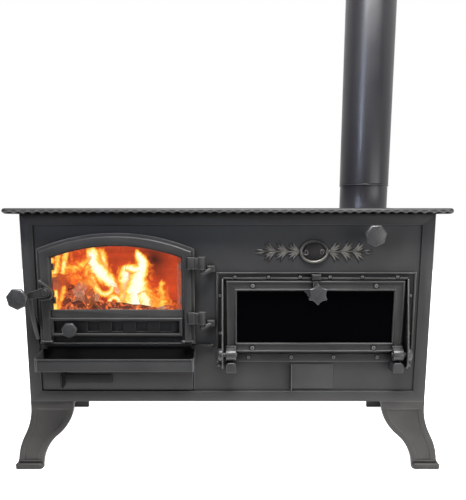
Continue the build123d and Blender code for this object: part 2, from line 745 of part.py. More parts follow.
def ember_tray():
    """Folded sheet: floor, front, ends, rear wall and the curl round the rod."""
    rear_out = ROD_Y - CURL_R
    rear_in = rear_out + TRAY_SHEET
    front_in = TRAY_FRONT + TRAY_SHEET
    floor_top = TRAY_LOW + TRAY_SHEET
    end = make_face(Polyline((front_in, floor_top), (rear_out, floor_top), (rear_out, TRAY_SIDE_BACK_TOP),
                             (front_in, TRAY_SIDE_FRONT_TOP), close=True))
    corner_in = TRAY_LEFT + 5.7
    corner = make_face(Polyline((TRAY_LEFT, TRAY_LOW), (corner_in, TRAY_LOW), (corner_in, TRAY_FRONT_TOP),
                                (TRAY_LEFT, TRAY_SIDE_FRONT_TOP), close=True))
    middle = (TRAY_LEFT + TRAY_RIGHT) / 2
    far_corner = Pos(middle, 0) * mirror(Pos(-middle, 0) * corner, Plane.YZ)
    pieces = [
        along_y(corner, TRAY_CORNER_FRONT, TRAY_FRONT),
        along_y(far_corner, TRAY_CORNER_FRONT, TRAY_FRONT),
        block(TRAY_LEFT, TRAY_RIGHT, front_in, rear_out, TRAY_LOW, floor_top),
        block(TRAY_LEFT, TRAY_RIGHT, TRAY_FRONT, front_in, TRAY_LOW, TRAY_FRONT_TOP),
        along_x(end, TRAY_LEFT, TRAY_LEFT + TRAY_SHEET),
        along_x(end, TRAY_RIGHT - TRAY_SHEET, TRAY_RIGHT),
        block(TRAY_LEFT, TRAY_RIGHT, rear_out, rear_in, TRAY_LOW, ROD_Z - 8),
    ]
    curl_ring = Circle(CURL_R) - Circle(CURL_R - TRAY_SHEET)
    curl = Pos(ROD_Y, ROD_Z) * (curl_ring - Pos(4, -6) * Rectangle(8, 12))
    curl += rectangle(rear_out, rear_in, ROD_Z - 8, ROD_Z)
    pieces.append(along_x(curl, -448, -90))
    hem_r = 1.8
    pieces.append(rod_x(corner_in, TRAY_RIGHT - 5.7, TRAY_FRONT, TRAY_FRONT_TOP - 1, hem_r))
    return group(pieces)


def ash_drawer():
    """Front plate, floor, two sides and a back."""
    box_left, box_right = DRAWER_LEFT + 6, DRAWER_RIGHT - 6
    front, back = PANEL_BACK - 1, DRAWER_DEPTH
    low, floor, high = DRAWER_LOW + 2, DRAWER_LOW + 4, DRAWER_HIGH - 2
    return group([
        block(DRAWER_LEFT, DRAWER_RIGHT, PANEL_FRONT - 1, front, DRAWER_LOW, DRAWER_HIGH),
        block(box_left, box_right, front, back, low, floor),
        block(box_left, box_left + 2, front, back, floor, high),
        block(box_right - 2, box_right, front, back, floor, high),
        block(box_left + 2, box_right - 2, back - 2, back, floor, high),
    ])


def ash_drawer_handle():
    """Strap bent at its left end into an upright grip."""
    front = PANEL_FRONT - 1
    left, right = -413.7, -291.5
    strap = block(left, right, front - 3, front, 222, 245)
    grip = block(left, left + 4, front - 37, front - 3, 216, 252)
    grip = fillet(grip.edges().filter_by(Axis.X).group_by(Axis.Y)[0], 6)
    return strap + grip


# ---- oven ---------------------------------------------------------------------------------------
def oven_box():
    """Five walls, and a rail at each side for the rack."""
    wall = 3.0
    left, right = OVEN_LEFT - wall, OVEN_RIGHT + wall
    low, high = OVEN_LOW - wall, OVEN_HIGH + wall
    walls = [
        block(left, OVEN_LEFT, PANEL_BACK, OVEN_BACK, low, high),
        block(OVEN_RIGHT, right, PANEL_BACK, OVEN_BACK, low, high),
        block(OVEN_LEFT, OVEN_RIGHT, PANEL_BACK, OVEN_BACK, low, OVEN_LOW),
        block(OVEN_LEFT, OVEN_RIGHT, PANEL_BACK, OVEN_BACK, OVEN_HIGH, high),
        block(left, right, OVEN_BACK, OVEN_BACK + wall, low, high),
        block(OVEN_LEFT, OVEN_LEFT + 8, 20, 420, RACK_Z - 6, RACK_Z - 3),
        block(OVEN_RIGHT - 8, OVEN_RIGHT, 20, 420, RACK_Z - 6, RACK_Z - 3),
    ]
    return group(walls)


def oven_rack():
    """Wire rack: a thick frame with thin cross wires."""
    left, right, front, back = OVEN_LEFT + 6, OVEN_RIGHT - 6, 24.0, 416.0
    frame_r = 2.8
    wire_r = 1.6
    rack = rod_x(left, right, front, RACK_Z, frame_r) + rod_x(left, right, back, RACK_Z, frame_r)
    rack += rod_y(left, front, back, RACK_Z, frame_r) + rod_y(right, front, back, RACK_Z, frame_r)
    wire_count = 19
    for index in range(1, wire_count + 1):
        x = left + (right - left) * index / (wire_count + 1)
        rack += rod_y(x, front, back, RACK_Z, wire_r)
    return rack


def oven_surround():
    flange = rectangle(SURROUND_LEFT, SURROUND_RIGHT, SURROUND_LOW, SURROUND_HIGH)
    opening = rectangle(SURROUND_IN_LEFT, SURROUND_IN_RIGHT, SURROUND_IN_LOW, SURROUND_IN_HIGH)
    inside = rectangle(SURROUND_LEFT + LIP_WIDTH, SURROUND_RIGHT - LIP_WIDTH,
                       SURROUND_LOW - 1, SURROUND_HIGH - LIP_WIDTH)
    top_lip = rectangle(SURROUND_IN_LEFT, SURROUND_IN_RIGHT, SURROUND_IN_HIGH, SURROUND_IN_HIGH + 3.9)
    for x in TOP_SCREWS:
        top_lip -= Pos(x, TOP_SCREW_Z) * Circle(6.5)
    ears = rectangle(SURROUND_LEFT, SURROUND_LEFT + EAR_WIDTH, EAR_LOW, SURROUND_LOW)
    ears += rectangle(SURROUND_RIGHT - EAR_WIDTH, SURROUND_RIGHT, EAR_LOW, SURROUND_LOW)
    surround = along_y(flange + ears - opening, 0, PANEL_FRONT)
    lips = along_y(flange - inside + top_lip, LIP_FRONT, 0)
    return surround + lips


def surround_screw_places():
    """Centres and head radii."""
    places = [(x, TOP_SCREW_Z, 4.5) for x in TOP_SCREWS]
    places += [(x, 290.3, 5.0) for x in (52, 159, 265, 374)]
    places += [(x, z, 3.8) for x in (SURROUND_LEFT + 8, SURROUND_RIGHT - 11) for z in (445, 351)]
    places += [(x, 269.5, 4.0) for x in (SURROUND_LEFT + 5.7, SURROUND_RIGHT - 5.7)]
    return places


def domed_head(x, y_back, z, radius, thick):
    """Round screw head that stands forward from y_back."""
    head = rod_y(x, y_back - thick, y_back, z, radius)
    return fillet(head.faces().sort_by(Axis.Y)[0].edges(), thick * 0.7)


def oven_surround_screws():
    return group([domed_head(x, 0, z, radius, 2.6) for x, z, radius in surround_screw_places()])


def oven_hinge_cheeks():
    behind, low = SURROUND_LOW - 0.3, 269
    side = make_face(Polyline((0, 486), (-8, 486), (-42, 306), (-42, 278), (-34, low),
                              (PANEL_FRONT, low), (PANEL_FRONT, behind), (0, behind), close=True))
    side -= Pos(OVEN_HINGE_Y, OVEN_HINGE_Z) * Circle(OVEN_PIN_R + RUNNING_GAP)
    left = along_x(side, SURROUND_IN_LEFT - CHEEK_THICK, SURROUND_IN_LEFT)
    right = along_x(side, SURROUND_IN_RIGHT, SURROUND_IN_RIGHT + CHEEK_THICK)
    return group([left, right])


def oven_hinge_pins():
    """Pin through each cheek into its knuckle, with a domed head outside."""
    head_long = 12.0
    gap = 0.3
    left = SURROUND_IN_LEFT - CHEEK_THICK - gap
    right = SURROUND_IN_RIGHT + CHEEK_THICK + gap
    left_head = rod_x(left - head_long, left, OVEN_HINGE_Y, OVEN_HINGE_Z, OVEN_PIN_HEAD_R)
    right_head = rod_x(right, right + head_long, OVEN_HINGE_Y, OVEN_HINGE_Z, OVEN_PIN_HEAD_R)
    left_head = fillet(left_head.faces().sort_by(Axis.X)[0].edges(), 9)
    right_head = fillet(right_head.faces().sort_by(Axis.X)[-1].edges(), 9)
    left_pin = rod_x(left - 1, KNUCKLE_SPANS[0][1] + 2, OVEN_HINGE_Y, OVEN_HINGE_Z, OVEN_PIN_R)
    right_pin = rod_x(KNUCKLE_SPANS[1][0] - 2, right + 1, OVEN_HINGE_Y, OVEN_HINGE_Z, OVEN_PIN_R)
    return group([left_head + left_pin, right_head + right_pin])


def oven_stop_blocks():
    """Round-topped blocks under the knuckles, cut back where the surround lies."""
    low, high, front = 257.6, 282.6, -35.0
    blocks = []
    for x0, x1 in KNUCKLE_SPANS:
        stop = block(x0, x1, front, PANEL_FRONT, low, high)
        stop = fillet(stop.faces().sort_by(Axis.Z)[-1].edges().filter_by(Axis.Y), 7)
        stop = fillet(stop.faces().sort_by(Axis.Y)[0].edges(), 2)
        blocks.append(stop - block(x0, x1, -0.2, PANEL_FRONT, SURROUND_LOW - 0.2, high))
    return group(blocks)


def oven_catch():
    """Catch over the door, seated on the lip and on the flange behind it."""
    left, right = STAR_X - 9, STAR_X + 12.5
    catch = block(left, right, -21, LIP_FRONT, 484.3, 498.5)
    catch = fillet(catch.faces().sort_by(Axis.Y)[0].edges(), 3)
    return catch + block(left, right, LIP_FRONT, 0, SURROUND_IN_HIGH + 4, 498.4)


def oven_window():
    """Window with the rounded boss of the knob let into its top edge."""
    window = rectangle(OVEN_GLASS_LEFT, OVEN_GLASS_RIGHT, OVEN_GLASS_LOW, OVEN_GLASS_HIGH)
    high, low = OVEN_GLASS_HIGH + 1, STAR_Z - 8
    slopes = Polyline((STAR_X - 29, high), (STAR_X - 16, low), (STAR_X + 16, low), (STAR_X + 29, high),
                      close=True)
    return window - make_face(slopes) - Pos(STAR_X, STAR_Z) * Circle(20)


def framed(outline, inset, y_front, y_back, round_by):
    """Raised strip of the given width inside an outline, chamfered on its front edges."""
    strip = along_y(outline - offset(outline, amount=-inset, kind=Kind.INTERSECTION), y_front, y_back)
    return chamfer(strip.faces().sort_by(Axis.Y)[0].edges(), round_by)


def oven_door():
    outline = rectangle(OVEN_DOOR_LEFT, OVEN_DOOR_RIGHT, OVEN_DOOR_LOW, OVEN_DOOR_HIGH)
    window = oven_window()
    around = rectangle(OVEN_GLASS_LEFT - 5, OVEN_GLASS_RIGHT + 5, OVEN_GLASS_LOW - 5, OVEN_GLASS_HIGH + 5)
    glass_seat = rectangle(OVEN_GLASS_LEFT - 8, OVEN_GLASS_RIGHT + 8,
                           OVEN_GLASS_LOW - 8, OVEN_GLASS_HIGH + 8)
    plate = along_y(outline - window, OVEN_DOOR_FIELD, OVEN_DOOR_BACK)
    bead = along_y(around - window, OVEN_DOOR_FRONT, OVEN_DOOR_FIELD)
    bead = chamfer(bead.faces().sort_by(Axis.Y)[0].edges(), 1.4)
    door = plate + framed(outline, 5, OVEN_DOOR_FRONT, OVEN_DOOR_FIELD, 1.4) + bead
    door -= along_y(glass_seat, -4, OVEN_DOOR_BACK)
    return door - rod_y(STAR_X, OVEN_DOOR_FRONT, OVEN_DOOR_BACK, STAR_Z, 5 + RUNNING_GAP)


def oven_door_glass():
    pane = rectangle(OVEN_GLASS_LEFT - 7, OVEN_GLASS_RIGHT + 7, OVEN_GLASS_LOW - 7, OVEN_GLASS_HIGH + 7)
    pane -= Pos(STAR_X, STAR_Z) * Circle(6)
    return along_y(pane, OVEN_GLASS_BACK - GLASS_THICK, OVEN_GLASS_BACK)


def oven_screw_places():
    return [(x, z) for x in (61, 361) for z in (316.5, 470.3)]


def oven_glass_clips():
    """Cranked clips behind the door, held by its four screws, whose tongues hold the pane."""
    clips = []
    half_width = 9.0
    for x, z in oven_screw_places():
        edge = OVEN_GLASS_LOW if z < 400 else OVEN_GLASS_HIGH
        outward = -1 if z < 400 else 1
        z0, z1 = sorted((z + outward * 5, edge))
        strap = block(x - half_width, x + half_width, OVEN_DOOR_BACK, OVEN_DOOR_BACK + 1.6, z0, z1)
        z0, z1 = sorted((edge, edge + outward * 7))
        tongue = block(x - half_width, x + half_width, OVEN_GLASS_BACK + 0.1, OVEN_DOOR_BACK, z0, z1)
        clips.append(strap + tongue)
    return group(clips)


def oven_door_screws():
    return group([domed_head(x, OVEN_DOOR_FIELD, z, 5.6, 3) for x, z in oven_screw_places()])


def oven_door_knuckles():
    """Curled straps on the door that turn on the hinge pins."""
    knuckles = []
    strap_top = 322.0
    strap_front = OVEN_DOOR_FRONT - 4
    door_space = block(-50, 500, OVEN_DOOR_FRONT, 40, OVEN_DOOR_LOW, 400)
    for x0, x1 in KNUCKLE_SPANS:
        curl = rod_x(x0, x1, OVEN_HINGE_Y, OVEN_HINGE_Z, KNUCKLE_R)
        strap = block(x0, x1, strap_front, OVEN_DOOR_FRONT, OVEN_HINGE_Z, strap_top)
        bore = rod_x(x0, x1, OVEN_HINGE_Y, OVEN_HINGE_Z, OVEN_PIN_R + RUNNING_GAP)
        knuckles.append(curl + strap - bore - door_space)
    return group(knuckles)


def star_outline():
    """Six tips joined by hollow arcs."""
    tips = 6
    edges = []
    for index in range(tips):
        angles = [pi / 2 + (index + share) * 2 * pi / tips for share in (0, 0.5, 1)]
        reaches = (STAR_R, STAR_VALLEY_R, STAR_R)
        points = [(STAR_X + r * cos(a), STAR_Z + r * sin(a)) for r, a in zip(reaches, angles)]
        edges.append(ThreePointArc(*points))
    return make_face(edges)


def oven_knob():
    star = along_y(star_outline(), -64, -51)
    star = fillet(star.edges().filter_by(Axis.Y), 2.4)
    return chamfer(star.faces().sort_by(Axis.Y)[0].edges(), 1.5)


def oven_latch_spindle():
    """Spindle through the door, with a tongue that points up to the catch."""
    spindle = rod_y(STAR_X, -51, OVEN_DOOR_FRONT - 5, STAR_Z, 8)
    spindle += rod_y(STAR_X, OVEN_DOOR_FRONT - 5, 3.5, STAR_Z, 5)
    tongue = block(STAR_X - 5.5, STAR_X + 5.5, -19, -15, STAR_Z, 482)
    return spindle + tongue


# ---- small front pieces -------------------------------------------------------------------------
def soot_cover():
    """Cover with a spigot of four strips behind it and its left edge bent forward."""
    front = PANEL_FRONT - 2
    cover = block(SOOT_LEFT, SOOT_RIGHT, front, PANEL_FRONT - 0.2, SOOT_LOW, SOOT_HIGH)
    grip = block(SOOT_LEFT - 2, SOOT_LEFT, front - 20, PANEL_FRONT - 0.2, SOOT_LOW - 3, SOOT_HIGH)
    margin = 6.0
    left, right = SOOT_LEFT + margin, SOOT_RIGHT - margin
    low, high = SOOT_LOW + margin, SOOT_HIGH - margin
    spigot = block(left, right, PANEL_FRONT - 0.2, PANEL_BACK + 10, low, high)
    spigot -= block(left + 2, right - 2, PANEL_FRONT - 0.2, PANEL_BACK + 10, low + 2, high - 2)
    return cover + grip + spigot


def damper_rod():
    return rod_y(DAMPER_X, -46, 160, DAMPER_Z, DAMPER_ROD_R)


def damper_knob():
    knob = seven_sided_knob(DAMPER_X, DAMPER_Z, 26, -62, 14, 8, -44)
    return knob - rod_y(DAMPER_X, -46, -40, DAMPER_Z, DAMPER_ROD_R + RUNNING_GAP)


def damper_plate():
    """Sliding plate with a bleed hole, and the lug that the rod pushes."""
    plate = block(300, 450, 160, 310, 634, 637)
    plate -= rod_z(FLUE_X, FLUE_Y, 634, 637, 14)
    lug = block(DAMPER_X - 10, DAMPER_X + 10, 160, 164, DAMPER_Z - 10, 634)
    return plate + lug


def damper_guides():
    guides = []
    for x, side in ((300.0, 1), (450.0, -1)):
        near, far = x - side * 0.5, x - side * 5
        lip = x + side * 5
        web = block(min(near, far), max(near, far), 46, 322, 630, BODY_TOP)
        shelf = block(min(far, lip), max(far, lip), 46, 322, 629, 633.5)
        guides.append(web + shelf)
    return group(guides)


# ---- ornament -----------------------------------------------------------------------------------
def leaf(length, width):
    """Pointed leaf that starts at the origin and runs along +X."""
    tip, bulge = (length, 0), length * 0.45
    edges = ThreePointArc((0, 0), (bulge, width / 2), tip)
    edges += ThreePointArc(tip, (bulge, -width / 2), (0, 0))
    return make_face(edges)


def leaf_spray(side):
    """One side of the ornament: a stem, three clusters of leaves up and down, and a forked tip."""
    start, fork, end = 34.0, 129.0, 149.5
    spray = Pos((start + fork) / 2, 0) * Rectangle(fork - start, 4)
    for tip_x in (66.0, 95.0, 124.0):
        for up in (1, -1):
            spray += Pos(tip_x - 18, 0) * Rot(0, 0, up * 52) * leaf(29, 9)
            spray += Pos(tip_x - 31, 0) * Rot(0, 0, up * 52) * leaf(26, 8)
    for up in (1, -1):
        spray += Pos(fork - 2, 0) * Rot(0, 0, up * 20) * leaf((end - fork + 2) / cos(radians(20)), 7)
    return spray if side > 0 else mirror(spray, Plane.YZ)


def ornament():
    """Oval ring round a bare disc, scroll ends inside it, and a leaf spray at each side."""
    ring = Ellipse(35.5, 29) - Ellipse(28, 21.5)
    scrolls = Pos(-24, 0) * Circle(6) + Pos(24, 0) * Circle(6)
    base = Pos(ORNAMENT_X, ORNAMENT_Z)
    leaves = along_y(base * (leaf_spray(1) + leaf_spray(-1)), 1.0, PANEL_FRONT)
    rim = along_y(base * ring, -1.5, PANEL_FRONT)
    rim += along_y(base * scrolls, 0, PANEL_FRONT)
    disc = along_y(base * Ellipse(29.5, 23), 2.4, PANEL_FRONT)
    return leaves + rim + disc


# ---- all sub-parts ------------------------------------------------------------------------------
def legs():
    right = front_right_leg()
    left = mirror(right, Plane.YZ)
    middle = Plane.XZ.offset(-BODY_DEPTH / 2)
    return {
        "leg_front_right": right,
        "leg_front_left": left,
        "leg_rear_right": mirror(right, middle),
        "leg_rear_left": mirror(left, middle),
    }


def sub_parts():
    shapes = {
        "side_panel_left": side_panel(-1),
        "side_panel_right": side_panel(1),
    }
    makers = (
        front_frame, front_panel, back_panel, base_panel, plate_rim, cooktop_plate, hob_ring, hob_lid,
        flue_collar, flue_pipe, leg_bolts, firebox_shell, grate, firebrick_sides, firebrick_back,
        drawer_runners, fire_door, fire_door_glass, fire_glass_clips, fire_door_gasket,
        fire_door_barrels, door_pintles, latch_arm, latch_bolt, latch_knob, latch_keeper, air_slider,
        air_knob, tray_rod, ember_tray, ash_drawer, ash_drawer_handle, oven_box, oven_rack,
        oven_surround, oven_surround_screws, oven_hinge_cheeks, oven_hinge_pins, oven_stop_blocks,
        oven_catch, oven_door, oven_door_glass, oven_glass_clips, oven_door_screws,
        oven_door_knuckles, oven_knob, oven_latch_spindle, soot_cover, damper_rod, damper_knob,
        damper_plate, damper_guides, ornament,
    )
    for maker in makers:
        shapes[maker.__name__] = maker()
    shapes.update(legs())
    return shapes


def write_all():
    os.makedirs("parts", exist_ok=True)
    for name, shape in sub_parts().items():
        export_step(Pos(0, -CENTRE_Y, 0) * shape, f"parts/{name}.step")


write_all()
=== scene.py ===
import json
import math
import random

import bmesh
import bpy
from mathutils import Matrix, Vector, noise


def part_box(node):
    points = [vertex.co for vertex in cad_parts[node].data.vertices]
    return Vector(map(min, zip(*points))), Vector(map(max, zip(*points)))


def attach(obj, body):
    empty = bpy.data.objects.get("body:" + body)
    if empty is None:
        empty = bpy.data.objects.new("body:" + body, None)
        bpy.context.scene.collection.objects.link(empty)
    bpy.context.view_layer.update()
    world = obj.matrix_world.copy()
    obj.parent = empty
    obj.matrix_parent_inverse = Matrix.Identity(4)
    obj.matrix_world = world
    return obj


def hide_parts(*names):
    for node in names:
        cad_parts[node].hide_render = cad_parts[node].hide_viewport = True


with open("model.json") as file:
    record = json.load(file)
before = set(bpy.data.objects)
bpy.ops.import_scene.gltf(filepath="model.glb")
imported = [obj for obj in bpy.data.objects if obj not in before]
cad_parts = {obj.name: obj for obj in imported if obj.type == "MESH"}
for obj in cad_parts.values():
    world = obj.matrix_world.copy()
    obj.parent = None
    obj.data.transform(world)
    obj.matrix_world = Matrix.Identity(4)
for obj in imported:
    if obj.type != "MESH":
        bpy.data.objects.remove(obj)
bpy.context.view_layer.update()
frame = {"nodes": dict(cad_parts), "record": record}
NODES = frame["nodes"]
MM = 0.001

# ---- view, floor and light -------------------------------------------
FRONT_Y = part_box("front_frame")[0].y
CAMERA_DISTANCE = 1465 * MM
CAMERA_HEIGHT = 630 * MM
CAMERA_PLACE = Vector((0, FRONT_Y - CAMERA_DISTANCE, CAMERA_HEIGHT))
CAMERA_PITCH = 10.62
CAMERA_LENS = 43.2
SENSOR_WIDTH = 36
CAMERA_SHIFT = (0.0108, 0.163)

# the studio is white on its bright side, and this much of white in front of the stove
FRONT_DIM = 0.22
BRIGHT_SIDE = (0.3, 0.95, 0.0)
BRIGHT_FROM = -0.35
BRIGHT_TO = 0.25

# the floor is white up to one distance in front of the body, and grey from the other on
FLOOR_SIZE = 12.0
FLOOR_AHEAD = 230 * MM
FLOOR_FADED = 560 * MM
FLOOR_GLOW = 0.97
FLOOR_GLOW_FADED = FRONT_DIM * 0.8

# area lights: place, aim, size, power in watts, colour and spread in degrees
AREA_LIGHTS = {
    "top_box": ((0.2, -1.15, 2.8), (0, 0, 0.4), (2.0, 0.7), 205, (1, 1, 1), 180),
    "right_box": ((2.1, -2.1, 0.45), (0.2, 0, 0.3), (2.2, 0.8), 34, (1, 1, 1), 180),
    "flue_strip": ((-1.1, -2.0, 1.85), (0.37, 0, 1.3), (0.2, 1.9), 5.4, (0.66, 0.76, 1.0), 50),
}

# ---- sizes of the pieces made here -----------------------------------
# fire window of the door, in metres from the middle, the floor and the body front
WINDOW_LEFT = -426 * MM
WINDOW_LOW = 412 * MM
WINDOW_DEPTH = -16 * MM

GASKET_WIDTH = 9 * MM
GASKET_ARCH = 36.5 * MM
ROPE_STEP = 1.6 * MM

LIP_CORNER = 7 * MM
LIP_STEP = 1.8 * MM
WAVE_LENGTH = 21.8 * MM
WAVE_DEPTH = 3.6 * MM
RIDGE_HEIGHT = 0.5 * MM

# screw head from its seat to its socket: share of the radius, of the height, and its painted light
# (below 0 painted shade, above 0 painted highlight)
HEAD_PROFILE = (
    (1.35, 0.06, -1.0),
    (1.06, 0.1, -1.0),
    (1.0, 0.35, -0.8),
    (0.9, 0.78, 0.0),
    (0.68, 0.97, 0.6),
    (0.4, 1.0, 0.5),
    (0.3, 0.7, -0.7),
)

# oval ring of the ornament and the disc in it
RING_WIDE = 32 * MM
RING_HIGH = 25.2 * MM
RING_THICK = 3.8 * MM
DISC = (29 * MM, 2.2 * MM, 23 * MM)

# fans on each branch, in mm: where their tips lie, how far back they start, and the leaves of one,
# each with its first and last angle in degrees, its length and its width
FAN_TIPS = (62, 91, 120)
FAN_REACH = 27
FAN_LEAVES = (((4, 30), 32, 7.5), ((12, 58), 36, 9.5), ((26, 84), 32, 8.0))
LEAF_RISE = 4.2
TIP_LEAF = ((30, -14), 25, 6.0)
TIP_RISE = 3.8

# edges rounded by each width
ROUNDED_EDGES = {
    0.8 * MM: (
        "fire_door", "oven_door", "oven_surround", "latch_arm", "fire_door_barrels",
        "oven_stop_blocks", "oven_door_knuckles", "oven_hinge_cheeks", "oven_catch", "soot_cover",
        "ash_drawer_handle", "latch_keeper", "tray_rod", "oven_knob",
    ),
    0.6 * MM: (
        "front_frame", "ember_tray", "air_slider", "ash_drawer", "flue_collar", "flue_pipe",
        "cooktop_plate", "hob_ring", "hob_lid", "damper_plate",
    ),
    1.5 * MM: (
        "leg_front_left", "leg_front_right", "leg_rear_left", "leg_rear_right", "latch_knob",
        "air_knob", "damper_knob", "grate", "firebrick_sides", "firebrick_back",
    ),
}

# ---- ranges that the materials share ---------------------------------
# stretch of a noise that turns one tone into another, and one roughness into another
MOTTLED = (0.35, 0.65)
DRIFT = (0.3, 0.7)

# how far the shade of a gap or pocket reaches, and how open it is where it is dark and where not
GAP = (9 * MM, 0.35, 0.85)
POCKET = (38 * MM, 0.35, 0.88)

# width of a rubbed edge that carries a painted highlight
FINE_EDGE = 1.6 * MM
CAST_EDGE = 1.8 * MM

# dark spot on the back wall of the fire, and the painted glow of the bricks round it
DARK_SPOT = Vector((-230 * MM, FRONT_Y + 432 * MM, 505 * MM))
DARK_SPOT_REACH = 75 * MM
GLOWING_BRICK = 0.55


# ---- node trees ------------------------------------------------------
def set_inputs(node, **values):
    """Set sockets to plain values. An underscore stands for a space."""
    for key, value in values.items():
        node.inputs[key.replace("_", " ")].default_value = value


class Finish:
    """A node material on the Principled shader, with short calls for the nodes it needs."""

    def __init__(self, name):
        self.material = bpy.data.materials.new(name)
        self.material.use_nodes = True
        self.tree = self.material.node_tree
        self.shader = self.tree.nodes["Principled BSDF"]
        self.place = self.node("ShaderNodeTexCoord").outputs["Object"]

    def node(self, kind, **settings):
        made = self.tree.nodes.new(kind)
        for key, value in settings.items():
            setattr(made, key, value)
        return made

    def feed(self, socket, value):
        """Link a socket to another node's output, or set it to a plain value."""
        if isinstance(value, bpy.types.NodeSocket):
            self.tree.links.new(value, socket)
        else:
            socket.default_value = value

    def constants(self, **values):
        set_inputs(self.shader, **values)

    def noise(self, scale, detail=3.0, roughness=0.55, stretch=None, distortion=0.0):
        made = self.node("ShaderNodeTexNoise")
        place = self.place
        if stretch:
            mapping = self.node("ShaderNodeMapping")
            set_inputs(mapping, Scale=stretch)
            self.feed(mapping.inputs["Vector"], self.place)
            place = mapping.outputs["Vector"]
        self.feed(made.inputs["Vector"], place)
        set_inputs(made, Scale=scale, Detail=detail, Roughness=roughness, Distortion=distortion)
        return made.outputs["Fac"]

    def cells(self, scale, feature="F1"):
        made = self.node("ShaderNodeTexVoronoi", feature=feature)
        self.feed(made.inputs["Vector"], self.place)
        set_inputs(made, Scale=scale)
        return made.outputs["Distance"]

    def spread(self, value, low, high, to_low=0.0, to_high=1.0):
        """Map a range of one value to another range, clamped."""
        made = self.node("ShaderNodeMapRange")
        self.feed(made.inputs["Value"], value)
        set_inputs(made, From_Min=low, From_Max=high, To_Min=to_low, To_Max=to_high)
        return made.outputs["Result"]

    def axis(self, letter):
        """One coordinate of the place, in metres."""
        made = self.node("ShaderNodeSeparateXYZ")
        self.feed(made.inputs["Vector"], self.place)
        return made.outputs[letter]

    def facing(self, letter):
        """How far the surface faces along an axis of the model."""
        geometry = self.node("ShaderNodeNewGeometry")
        made = self.node("ShaderNodeSeparateXYZ")
        self.feed(made.inputs["Vector"], geometry.outputs["Normal"])
        return made.outputs[letter]

    def math(self, operation, first, second):
        made = self.node("ShaderNodeMath", operation=operation)
        self.feed(made.inputs[0], first)
        self.feed(made.inputs[1], second)
        return made.outputs["Value"]

    def mix(self, share, first, second):
        made = self.node("ShaderNodeMix", data_type="RGBA")
        self.feed(made.inputs["Factor"], share)
        self.feed(made.inputs["A"], first)
        self.feed(made.inputs["B"], second)
        return made.outputs["Result"]

    def bump(self, height, distance, strength=1.0, after=None):
        made = self.node("ShaderNodeBump")
        set_inputs(made, Distance=distance, Strength=strength)
        self.feed(made.inputs["Height"], height)
        if after:
            self.feed(made.inputs["Normal"], after)
        return made.outputs["Normal"]

    def colour(self, value):
        self.feed(self.shader.inputs["Base Color"], value)

    def roughness(self, value):
        self.feed(self.shader.inputs["Roughness"], value)

    def normal(self, value):
        self.feed(self.shader.inputs["Normal"], value)

    def open_to_air(self, reach, low, high):
        """1 on open faces, 0 deep in gaps and corners."""
        made = self.node("ShaderNodeAmbientOcclusion", samples=8)
        set_inputs(made, Distance=reach)
        return self.spread(made.outputs["AO"], low, high)

    def outer_edges(self, reach, low=0.62, high=0.9):
        """1 on outer edges, 0 on flat faces."""
        made = self.node("ShaderNodeAmbientOcclusion", samples=8, inside=True)
        set_inputs(made, Distance=reach)
        return self.spread(made.outputs["AO"], high, low)

    def attribute(self, name):
        return self.node("ShaderNodeAttribute", attribute_name=name).outputs["Fac"]

    def ramp(self, value, stops):
        """Colour ramp from (position, colour) pairs."""
        made = self.node("ShaderNodeValToRGB")
        elements = made.color_ramp.elements
        for index, (position, colour) in enumerate(stops):
            element = elements[index] if index < 2 else elements.new(position)
            element.position = position
            element.color = colour
        self.feed(made.inputs["Fac"], value)
        return made.outputs["Color"]

    def away_from(self, place, reach):
        """0 at a point of the model, 1 from the given distance on."""
        made = self.node("ShaderNodeVectorMath", operation="DISTANCE")
        self.feed(made.inputs[0], self.place)
        self.feed(made.inputs[1], place)
        return self.spread(made.outputs["Value"], 0.0, reach)

    def mottled(self, clouds, first, second):
        """Two colours, mixed by a cloudy value."""
        return self.mix(self.spread(clouds, *MOTTLED), first, second)

    def drifting_roughness(self, value, low, high):
        self.roughness(self.spread(value, *DRIFT, low, high))


def grey(value, warm=0.0):
    """Linear grey, warmer or cooler by a few percent."""
    return (value * (1 + warm), value, value * (1 - warm), 1.0)


def painted_steel(name, tone, warm=0.0, rough=0.5, upward_paleness=0.25, shine=0.3, rub_and_highlight=3.0):
    """Matte stove paint: fine grain, faint clouds, faces that look up a little paler, rubbed edges
    with a painted highlight, and painted shade in gaps and corners.
    """
    finish = Finish(name)
    clouds = finish.noise(7.0, 4.0)
    body = finish.mottled(clouds, grey(tone * 0.88, warm), grey(tone * 1.12, warm))
    specks = finish.spread(finish.noise(900.0, 1.0), 0.62, 0.74)
    body = finish.mix(finish.math("MULTIPLY", specks, 0.2), body, grey(tone * 1.9, warm))
    up = finish.spread(finish.facing("Z"), 0.55, 1.0, 0.0, upward_paleness)
    body = finish.mix(up, body, grey(tone * 2.2, 0.04))
    # rubbed edges, lightened further as a painted highlight
    body = finish.mix(finish.outer_edges(FINE_EDGE), body, grey(tone * rub_and_highlight, warm))
    # painted shade: gaps and corners darkened toward a fifth of the tone
    finish.colour(finish.mix(finish.open_to_air(*GAP), grey(tone * 0.2), body))
    finish.constants(Specular_IOR_Level=shine)
    finish.drifting_roughness(finish.noise(24.0, 5.0), rough - 0.07, rough + 0.09)
    grain = finish.bump(finish.noise(1300.0, 2.0), 0.12 * MM, 0.35)
    finish.normal(finish.bump(finish.noise(160.0, 2.0), 0.25 * MM, 0.3, grain))
    return finish.material


